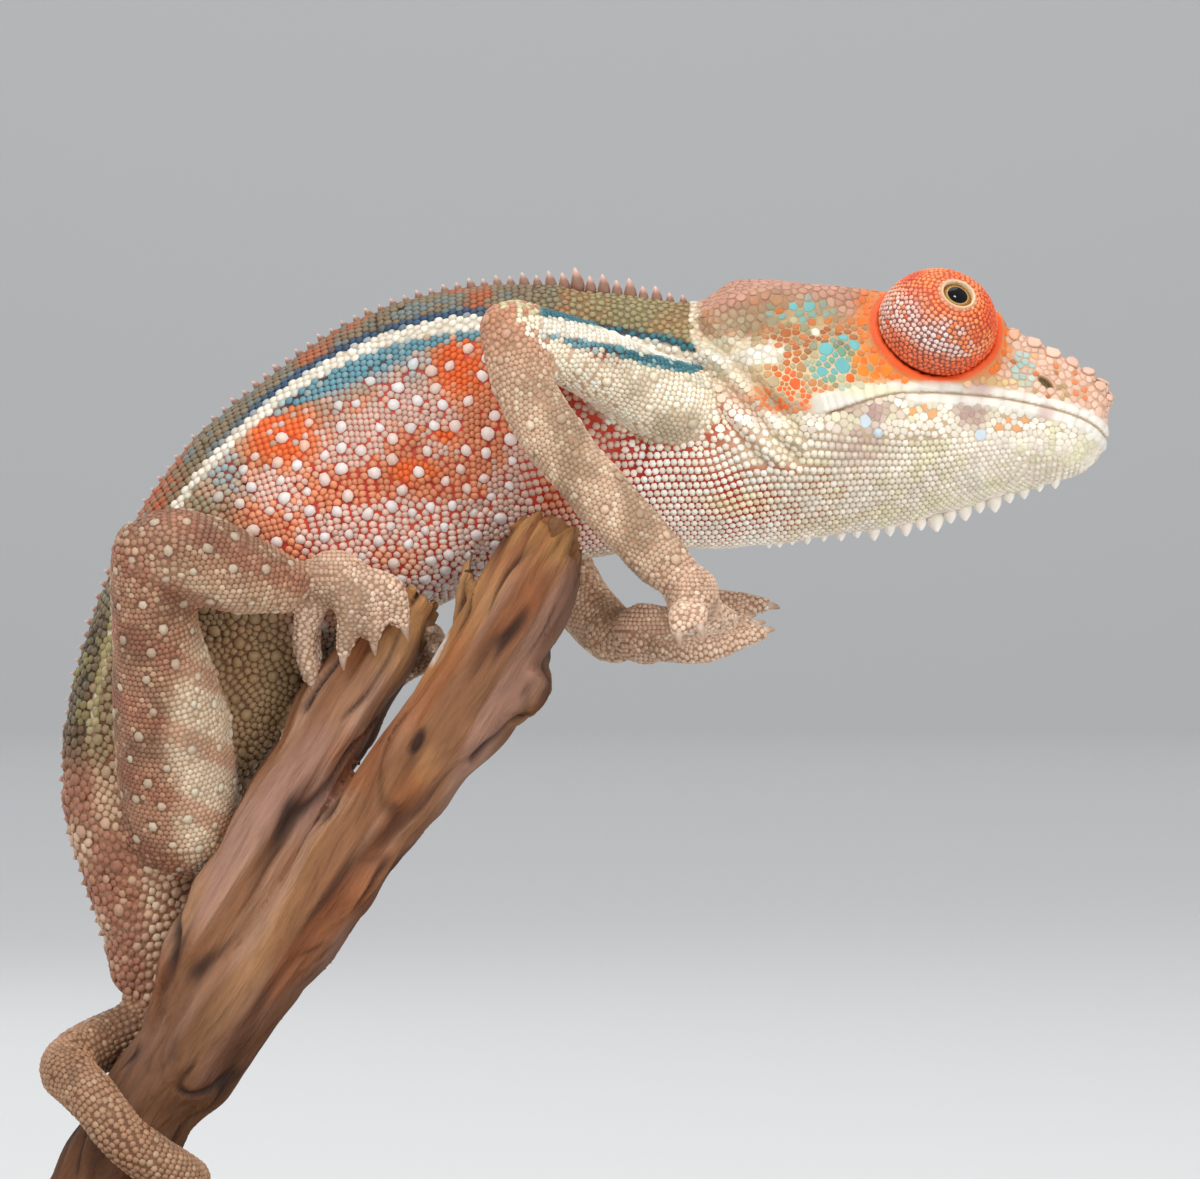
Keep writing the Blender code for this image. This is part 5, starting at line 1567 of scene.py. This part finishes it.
class CHAMELEON_OT_skin(bpy.types.Operator):
    """Fuses the flesh into one skin, sculpts its folds and paints it"""

    bl_idname = "chameleon.skin"
    bl_label = "Skin"

    def execute(self, context):
        settings = context.scene.chameleon_skin
        forms = flesh_forms()
        skin = fused("hide", [rings for _, rings, _, _ in forms], settings.mesh_size, 3)
        # the head gets four times as many faces, and the mouth and nostrils four times as many again
        edit(skin)
        for test in (
            lambda at: (at[:, 0] > 19) & (at[:, 2] > 98),
            lambda at: (at[:, 0] > 31) & ((near_line(at[:, [0, 2]], MOUTH)[0] < 0.45)
                                          | (np.hypot(*(at[:, [0, 2]] - NOSTRIL).T) < 1.3)),
        ):
            pick_faces(skin, test)
            bpy.ops.mesh.subdivide(number_cuts=1, smoothness=0.0)
        bpy.ops.mesh.select_all(action="SELECT")
        bpy.ops.mesh.quads_convert_to_tris(quad_method="BEAUTY", ngon_method="BEAUTY")
        applied(close(skin), "SMOOTH", factor=0.5, iterations=2)
        guide = Guide(forms)
        points, normals = coordinates(skin)
        label, _, place, turn = guide.look(points)
        rise = sculpt(points, label, place) - settings.coat_depth / MM
        rise -= (on(label, "body") & (place < FACE_END)) * 2.4 * fade(turret_distance(points), 0.99, 0.95)
        set_points(skin, points + normals * rise[:, None])
        skin.data.shade_smooth()
        skin.data.uv_layers.new(name="OFBake")
        edit(skin, "SELECT")
        bpy.ops.uv.smart_project(angle_limit=math.radians(66), island_margin=0.002)
        close(skin)
        points, normals = coordinates(skin)
        generator = np.random.default_rng(settings.seed)
        _, colours = paint(points, normals, label, place, turn, generator.random(len(points)))
        put_colour(skin, colours)
        material = hide_material("Hide", 0.55, 0.0, 3500.0, 0.00008, 0.15)
        dress(skin, material, instead_of=FLESH)
        return {"FINISHED"}


class CHAMELEON_OT_scales(bpy.types.Operator):
    """Covers the skin with scales, each fitted between its neighbours"""

    bl_idname = "chameleon.scales"
    bl_label = "Scales"

    def execute(self, context):
        settings = context.scene.chameleon_skin
        skin = bpy.data.objects.get("hide")
        if skin is None:
            raise RuntimeError("make the skin first")
        growth = settings.scale_size
        generator = np.random.default_rng(settings.seed + 1)
        forms = flesh_forms()
        guide = Guide(forms)
        points, kinds, known = all_places(skin, forms, guide, growth, generator)
        near, points, normals, uv = settle_on(skin, points, 2.2)
        kinds, known = kinds[near], known[near]
        label, along, place, turn = guide.look(points)
        pick = generator.random(len(points))
        xz, body = points[:, [0, 2]], on(label, "body")
        face = body & (place < FACE_END) & (xz[:, 0] > 20)
        face &= (above_mouth(xz) > -1.6) | (xz[:, 1] > jaw_line(xz[:, 0]))
        size = spacing(points, label, place, turn, pick)
        size = np.where(known > 0, known, size) * np.where((kinds == BEAD) & ~body, 0.8, 1.0) * growth
        lip, mouth, _ = lips(xz)
        bare = (turret_distance(points) < 1.17) | (nostril(xz, 0.3) > 0.5) | (mouth < 0.16) | (lip > 0.5)
        clear = ~(face & bare)
        every = [a[clear] for a in (points, size, normals, uv, label, along, place, turn, pick, kinds, face)]
        kept = thinned(*every[:2])
        points, size, normals, uv, label, along, place, turn, pick, kinds, face = (a[kept] for a in every)
        colours, grooves = paint(points, normals, label, place, turn, pick)
        mark_scales(colours, points, label, place, pick, kinds, face)
        body, left = on(label, "body"), points[:, 1] > 0
        flank = body & (place >= THROAT_END)
        throat = body & ~face & ~flank
        satin = hide_material("Scales", 0.52, 0.04, 6000.0, 0.00003)
        horny = hide_material("Face scales", 0.46, 0.08, 6000.0, 0.00003)
        coat = Coat(points, normals, along, size, colours, grooves, uv)
        for name, here, slot, sides in (
            ("scales_face_right", face & ~left, "head_skin", 8),
            ("scales_face_left", face & left, "head_skin", 8),
            ("scales_throat_right", throat & ~left, "jaw_skin", 6),
            ("scales_throat_left", throat & left, "jaw_skin", 6),
            ("scales_flank_right", flank & ~left & (place < FLANK_END), "body_skin", 8),
            ("scales_flank_left", flank & left & (place < FLANK_END), "body_skin", 8),
            ("scales_rump", flank & (place >= FLANK_END), "body_skin", 6),
            ("scales_forelegs", on(label, "arm", "forearm"), "limb_skin", 6),
            ("scales_hind_legs", on(label, "thigh", "shank"), "limb_skin", 6),
            ("scales_feet", on(label, "foot", "toe"), "limb_skin", 6),
            ("scales_tail", on(label, "tail"), "limb_skin", 6),
        ):
            x, in_rows, plated = points[here, 0], slot == "jaw_skin", slot == "head_skin"
            groove = 0.008 + 0.03 * fade(x, 36, 24) - 0.02 if in_rows else np.full(len(x), -0.02)
            height = np.where(kinds[here] == BEAD, 0.26, 0.24)
            round_to = 0.62 if in_rows else 0.72
            if plated:
                lower = above_mouth(points[here][:, [0, 2]]) < 0
                groove, round_to = np.where(lower, 0.0, 0.045), np.where(lower, 0.82, 0.66)
                height = np.where(lower, 0.06, np.where(x > 46, 0.09 + 0.10 * (size[here] > 1.2), 0.07))
            piece = spread_scales(name, coat, here, sides, plated, groove, height, round_to, in_rows)
            dress(piece, horny if plated else satin)
        return {"FINISHED"}


class CHAMELEON_OT_turrets(bpy.types.Operator):
    """Turns the two eye turrets, with their pale lids and small scales"""

    bl_idname = "chameleon.turrets"
    bl_label = "Eye turrets"

    def execute(self, context):
        opening = context.scene.chameleon_eyes.opening / MM
        for side, name in ((-1, "right"), (1, "left")):
            turret = spun_piece(f"turret_{name}", turret_profile(opening), 72)
            place_turret(turret, side)
            points, _ = coordinates(turret)
            put_colour(turret, paint_turret(points, turret_local(points, side), np.full(len(points), 0.5))[1])
            material = hide_material(f"Turret skin {name}", 0.5, 0.05, 4000.0, 0.00006)
            dress(turret, material, instead_of=(f"eye_turret_{name}",))
            make_turret_scales(f"scales_turret_{name}", side, context.scene.chameleon_skin)
        return {"FINISHED"}


class CHAMELEON_OT_eyes(bpy.types.Operator):
    """Makes the two eyeballs: a dark pupil in a gold-brown iris under a clear wet gloss"""

    bl_idname = "chameleon.eyes"
    bl_label = "Eyes"

    def execute(self, context):
        eyes = context.scene.chameleon_eyes
        reach, pupil = eyes.opening / MM + 0.12, eyes.pupil / MM
        top = LID_RIM - 0.16
        profile = [(0.0, top - 1.3), (reach * 0.7, top - 1.2), (reach, top - 0.9), (reach, top - 0.62)]
        leans = np.radians(np.linspace(4, 90, 26))
        profile += [(reach * math.cos(lean), top - 0.62 + 0.62 * math.sin(lean)) for lean in leans]
        material, tree, shader = new_material("Eye")
        tint = put(tree, "ShaderNodeAttribute", attribute_name="Tint")
        feed(tree, shader, {
            "Base Color": tint.outputs["Color"], "Roughness": 0.04, "Specular IOR Level": 0.3})
        for side, name in ((-1, "right"), (1, "left")):
            eye = spun_piece(f"eyeball_{name}", profile, 48)
            place_turret(eye, side)
            points, _ = coordinates(eye)
            local = turret_local(points, side)
            r = np.hypot(local[:, 0], local[:, 1])
            rays = 0.5 + 0.5 * np.sin(np.arctan2(local[:, 1], local[:, 0]) * 24 + 5 * noise(local, 0.4, 3))
            colour = mix(eyes.iris, (0.36, 0.22, 0.08), rays * 0.5)
            colour = mix(colour, (0.86, 0.72, 0.40), np.exp(-(((r - pupil - 0.07) / 0.06) ** 2)) * 0.8)
            colour = mix(colour, (0.09, 0.05, 0.03), fade(r, reach - 0.14, reach))
            colour = mix(colour, (0.008, 0.006, 0.005), fade(r, pupil + 0.04, pupil - 0.02))
            put_colour(eye, colour)
            dress(eye, material, instead_of=(f"eye_{name}",))
        return {"FINISHED"}


class CHAMELEON_OT_spines(bpy.types.Operator):
    """Sets the crest of cones along the back and the pale cones under the jaw"""

    bl_idname = "chameleon.spines"
    bl_label = "Spines"

    def execute(self, context):
        material = hide_material("Spines", 0.45, 0.1, 5000.0, 0.00004, 0.25)
        shapes, colours = [], []
        length = np.linspace(*CREST_ROWS, 400)
        run = run_length(smooth_rows(BODY, length)[:, :2])
        count = int(run[-1] / CREST_STEP)
        for i, at in enumerate(np.interp(np.linspace(0, run[-1], count), run, length)):
            back, ahead = smooth_rows(BODY, [at, at + 0.05])
            along = unit(np.array((ahead[0] - back[0], 0, ahead[1] - back[1])))
            up = np.array((along[2], 0, -along[0]))
            if up @ (back[0] - back[2], 0, back[1] - back[3]) < 0:
                up = -up
            high = float(np.interp(i / (count - 1), *zip(*CREST_HEIGHTS))) * (1.0, 0.72, 0.9, 0.66)[i % 4]
            foot = np.array((back[0], 0, back[1]))
            shapes.append(cone_rings(foot - up * 0.7, up, along, high + 0.7, high * 0.20 + 0.27, high * 0.3))
            colours.append(((0.58, 0.42, 0.34), (0.90, 0.74, 0.68) if back[0] > 6 else (0.82, 0.74, 0.70)))
        dress(cones_piece("crest", shapes, colours), material)
        shapes = []
        down = unit(np.array((0.12, 0.0, -1.0)))
        for i, share in enumerate(np.arange(JAW_CONES) / (JAW_CONES - 1)):
            row = smooth_rows(BODY, [JAW_ROWS[0] + (JAW_ROWS[1] - JAW_ROWS[0]) * share])[0]
            high = 0.45 + 0.95 * math.sin(math.pi * min(share * 1.15 + 0.05, 1.0))
            high *= (1.0, 0.62, 0.85, 0.7)[i % 4]
            foot = np.array((row[2], 0, row[3]))
            shapes.append(cone_rings(foot - down * 0.5, down, np.array((1.0, 0, 0.12)), high + 0.5,
                                     high * 0.32 + 0.30, 0))
        colours = [((0.97, 0.93, 0.88), (1.0, 0.97, 0.93))] * JAW_CONES
        dress(cones_piece("throat_cones", shapes, colours), material)
        return {"FINISHED"}


class CHAMELEON_OT_claws(bpy.types.Operator):
    """Puts a small hooked claw on each toe"""

    bl_idname = "chameleon.claws"
    bl_label = "Claws"

    def execute(self, context):
        shapes = []
        share = np.linspace(-0.5, 1.0, 9)
        for _, bundles, curl in FEET:
            for bundle in bundles:
                for i in range(bundle[-1]):
                    _, knuckle, tip = toe_places(bundle, i)
                    ahead = unit(tip - knuckle)
                    bend = np.array(curl) * (np.maximum(share, 0) ** 2 * 0.6)[:, None]
                    path = tip + ahead * (TOE_TIP * 0.6 + share * CLAW_LENGTH * 0.62)[:, None] + bend
                    radius = CLAW_RADIUS * np.interp(share, (-0.5, 0, 0.6, 1.0), (1.1, 1.05, 0.72, 0.2))
                    shapes.append(tube_rings(np.column_stack((path, radius)), 10, 14, False, False)[0])
        claws = cones_piece("claws", shapes, [((0.80, 0.70, 0.62), (0.70, 0.58, 0.48))] * len(shapes))
        material = hide_material("Claw horn", 0.28, 0.3, 5000.0, 0.00002, 0.3)
        dress(claws, material)
        return {"FINISHED"}


class CHAMELEON_OT_perch(bpy.types.Operator):
    """Builds the forked branch with its cracked bark and torn ends"""

    bl_idname = "chameleon.perch"
    bl_label = "Branch"

    def execute(self, context):
        settings = context.scene.chameleon_perch
        shapes = [tube_rings(STEM, 40, 160, False, False)[0], tube_rings(FORK, 36, 80, False, False)[0]]
        for root, tip, radius in SLIVERS:
            shapes.append(tube_rings(((*root, radius * 1.25), (*tip, radius * 0.4)), 16, 16, False, False)[0])
        shapes.append(ball(*KNOT))
        perch = fused("branch", shapes, settings.mesh_size, 6)
        points, normals = coordinates(perch)
        laid = grain_coordinates(points)
        ridges = noise(laid * (1, 1, 0.10), 1.1, 41)
        fibres = noise(laid * (1, 1, 0.06), 0.5, 42)
        lumps = noise(points, 5.0, 44)
        bent = laid + (noise(points, 6.0, 50)[:, None] - 0.5) * (2.4, 2.4, 0)
        cracks = np.exp(-(((noise(bent * (1, 1, 0.09), 2.6, 43) - 0.5) / 0.055) ** 2))
        cracks *= fade(lumps, 0.35, 0.6)
        sawn = fade(points[:, 2], 22.2, 23.2)
        torn = np.maximum(fade(points[:, 2], 97.0, 102.0), fade(apart(points, (-7.5, -7.4, 94.5)), 5, 2))
        relief = (ridges - 0.6) * 2.0 + (fibres - 0.5) * 1.0 - cracks * 1.1 + (lumps - 0.6) * 2.6
        relief = relief * sawn * settings.bark_depth / MM + torn * (fibres - 0.6) * 0.5
        ragged = noise(laid * (1, 1, 0.02), 1.3, 49)
        stump, split = apart(points, STUMP) < 7.0, apart(points, SPLIT) < 4.2
        reach = np.where(stump, laid[stump, 2].max() - 0.4 - 6.0 * ragged,
                         laid[split, 2].max() - 0.2 - 4.0 * ragged)
        drop = np.where(stump | split, np.minimum(reach - laid[:, 2], 0), 0)
        set_points(perch, points + normals * relief[:, None] + unit(np.array(FIBRES)) * drop[:, None])
        perch.data.shade_smooth()
        colour = settings.bark
        for shade, shrink, width, seed, low, full, strength in STREAKS:
            streaks = noise(laid * (1, 1, shrink), width, seed)
            colour = mix(colour, shade, fade(streaks, low, full) * strength)
        # Painted shadow: the branch grows darker towards its lower end, from 66 mm down to 42 mm.
        colour = mix(colour, np.array(settings.bark) * (0.62, 0.56, 0.52), fade(points[:, 2], 66, 42) * 0.75)
        # Painted shade on the faces turned towards +x, away from the main light.
        colour = mix(colour, (0.24, 0.14, 0.09), fade(normals[:, 0], 0.55, 0.95) * 0.5)
        colour = mix(colour, (0.16, 0.09, 0.06), cracks * 0.8)
        colour = mix(colour, (0.74, 0.54, 0.32), torn * fade(fibres, 0.35, 0.6) * 0.8)
        colour = mix(colour, (0.28, 0.16, 0.09), torn * fade(ragged, 0.6, 0.8) * 0.6)
        pale = fade(apart(points, *BARE), 1.1, 0.7)
        colour = mix(colour, (0.83, 0.80, 0.76), pale * fade(fibres, 0.3, 0.6))
        colour = mix(colour, (0.70, 0.55, 0.38), 1 - sawn)
        put_colour(perch, colour)
        wood, tree, shader = new_material("Bark")
        tint = put(tree, "ShaderNodeAttribute", attribute_name="Tint")
        grain = grained(tree, (1.15, 1.12, 1.1, 1), (0.62, 0.60, 0.58, 1), 420.0, 1.2,
                        (0.0, -math.radians(32), 0.0), (1.0, 1.0, 0.12))
        feed(tree, shader, {
            "Base Color": multiplied(tree, tint.outputs["Color"], grain["Color"]),
            "Normal": bumped(tree, grain["Height"], 0.8, 0.0004),
            "Roughness": grain["Roughness"],
            "Specular IOR Level": 0.3,
        })
        dress(perch, wood, instead_of=("perch_branch",))
        return {"FINISHED"}


class CHAMELEON_OT_stand(bpy.types.Operator):
    """Gives the stand its stained wood and brushed steel"""

    bl_idname = "chameleon.stand"
    bl_label = "Stand"

    def execute(self, context):
        stain = np.array(context.scene.chameleon_perch.stain)
        wood, tree, shader = new_material("Stained wood")
        grain = grained(tree, rgba(stain * 1.35), rgba(stain * 0.55), 160.0, 1.8,
                        (0.0, 0.0, math.radians(1.5)), (0.07, 1.0, 1.0))
        feed(tree, shader, {
            "Base Color": grain["Color"],
            "Normal": bumped(tree, grain["Height"], 0.25, 0.0002),
            "Roughness": 0.38,
            "Coat Weight": 0.35,
            "Coat Roughness": 0.2,
        })
        steel, tree, shader = new_material("Brushed steel")
        grain = grained(tree, (0.62, 0.62, 0.63, 1), (0.46, 0.46, 0.47, 1), 900.0, 1.0,
                        (0.0, 0.0, 0.0), (0.05, 0.05, 1.0))
        scratch = put(tree, "ShaderNodeMapRange", {"Value": grain["Height"], "To Min": 0.22, "To Max": 0.38})
        feed(tree, shader, {
            "Base Color": grain["Color"], "Roughness": scratch.outputs["Result"], "Metallic": 1.0})
        wear(frame["nodes"]["stand_base"], wood)
        wear(frame["nodes"]["stand_rod"], steel)
        return {"FINISHED"}


class CHAMELEON_OT_stage(bpy.types.Operator):
    """Lays the pale floor and backdrop and sets the soft lights and the camera"""

    bl_idname = "chameleon.stage"
    bl_label = "Stage"

    def execute(self, context):
        settings = context.scene.chameleon_stage
        deselect()
        bpy.ops.mesh.primitive_plane_add(size=10.0, location=(0, -1.6, 0))
        floor = context.active_object
        floor.name = "floor"
        shape = edit(floor)
        for edge in shape.edges:
            if all(corner.co.y > 3 for corner in edge.verts):
                edge.select = True
        shape.select_flush_mode()
        bmesh.update_edit_mesh(floor.data)
        bpy.ops.mesh.extrude_region_move(TRANSFORM_OT_translate={"value": (0, 0, 3.0)})
        settle(close(floor))
        floor.data.shade_smooth()
        paper, tree, shader = new_material("Paper")
        grain = put(tree, "ShaderNodeGroup", {"Size": 900.0, "Patch Size": 3.0}, node_tree=pebbled())
        soft = put(tree, "ShaderNodeMapRange", {
            "Value": grain.outputs["Wear"], "To Min": 0.85, "To Max": 0.95})
        feed(tree, shader, {
            "Base Color": rgba(settings.paper), "Roughness": soft.outputs["Result"],
            "Specular IOR Level": 0.1,
        })
        floor.data.materials.append(paper)
        for name, (place, target, size, share) in LAMPS.items():
            aim = (Vector(target) - Vector(place)).to_track_quat("-Z", "Y").to_euler()
            bpy.ops.object.light_add(type="AREA", location=place, rotation=aim)
            light = context.active_object
            light.name = name
            light.data.shape, light.data.size, light.data.energy = "DISK", size, settings.key * share
        world = bpy.data.worlds.new("Studio")
        world.use_nodes = True
        background = world.node_tree.nodes["Background"]
        feed(world.node_tree, background, {"Color": (0.9, 0.93, 1.0, 1), "Strength": 0.58})
        context.scene.world = world
        place = (CAMERA_X, -settings.distance, CAMERA_HEIGHT)
        bpy.ops.object.camera_add(location=place, rotation=(math.pi / 2, 0, 0))
        camera = context.active_object
        camera.name = "camera"
        camera.data.sensor_width = 36.0
        camera.data.lens = CAMERA_LENS * settings.distance / CAMERA_DISTANCE
        camera.data.clip_start, camera.data.clip_end = 0.02, 20
        context.scene.camera = camera
        context.scene.view_settings.view_transform = "Standard"
        return {"FINISHED"}


class CHAMELEON_PT_model(bpy.types.Panel):
    """Lists the model's settings and the steps that build it"""

    bl_label = "Chameleon model"
    bl_idname = "CHAMELEON_PT_model"
    bl_space_type = "VIEW_3D"
    bl_region_type = "UI"
    bl_category = "Chameleon"

    def draw(self, context):
        for group, names, operators in (
            ("chameleon_skin", ("mesh_size", "coat_depth", "scale_size", "seed"),
             ("skin", "scales", "spines", "claws")),
            ("chameleon_markings", ("flank", "beads", "stripe", "glow", "plates"), ()),
            ("chameleon_eyes", ("opening", "pupil", "iris"), ("turrets", "eyes")),
            ("chameleon_perch", ("mesh_size", "bark_depth", "bark", "stain"), ("perch", "stand")),
            ("chameleon_stage", ("paper", "key", "distance"), ("stage",)),
        ):
            box = self.layout.box()
            for name in names:
                box.prop(getattr(context.scene, group), name)
            for name in operators:
                box.operator(f"chameleon.{name}")


CLASSES = (
    ChameleonSkin, ChameleonMarkings, ChameleonEyes, ChameleonPerch, ChameleonStage, CHAMELEON_OT_skin,
    CHAMELEON_OT_scales, CHAMELEON_OT_turrets, CHAMELEON_OT_eyes, CHAMELEON_OT_spines, CHAMELEON_OT_claws,
    CHAMELEON_OT_perch, CHAMELEON_OT_stand, CHAMELEON_OT_stage, CHAMELEON_PT_model,
)
GROUPS = {
    "chameleon_skin": ChameleonSkin, "chameleon_markings": ChameleonMarkings, "chameleon_eyes": ChameleonEyes,
    "chameleon_perch": ChameleonPerch, "chameleon_stage": ChameleonStage,
}


def register():
    for kind in CLASSES:
        bpy.utils.register_class(kind)
    for name, kind in GROUPS.items():
        setattr(bpy.types.Scene, name, PointerProperty(type=kind))


def unregister():
    for name in GROUPS:
        delattr(bpy.types.Scene, name)
    for kind in reversed(CLASSES):
        bpy.utils.unregister_class(kind)


def main():
    register()
    bpy.ops.chameleon.stage()
    bpy.ops.chameleon.skin()
    bpy.ops.chameleon.scales()
    bpy.ops.chameleon.turrets()
    bpy.ops.chameleon.eyes()
    bpy.ops.chameleon.spines()
    bpy.ops.chameleon.claws()
    bpy.ops.chameleon.perch()
    bpy.ops.chameleon.stand()


if __name__ == "__main__":
    main()
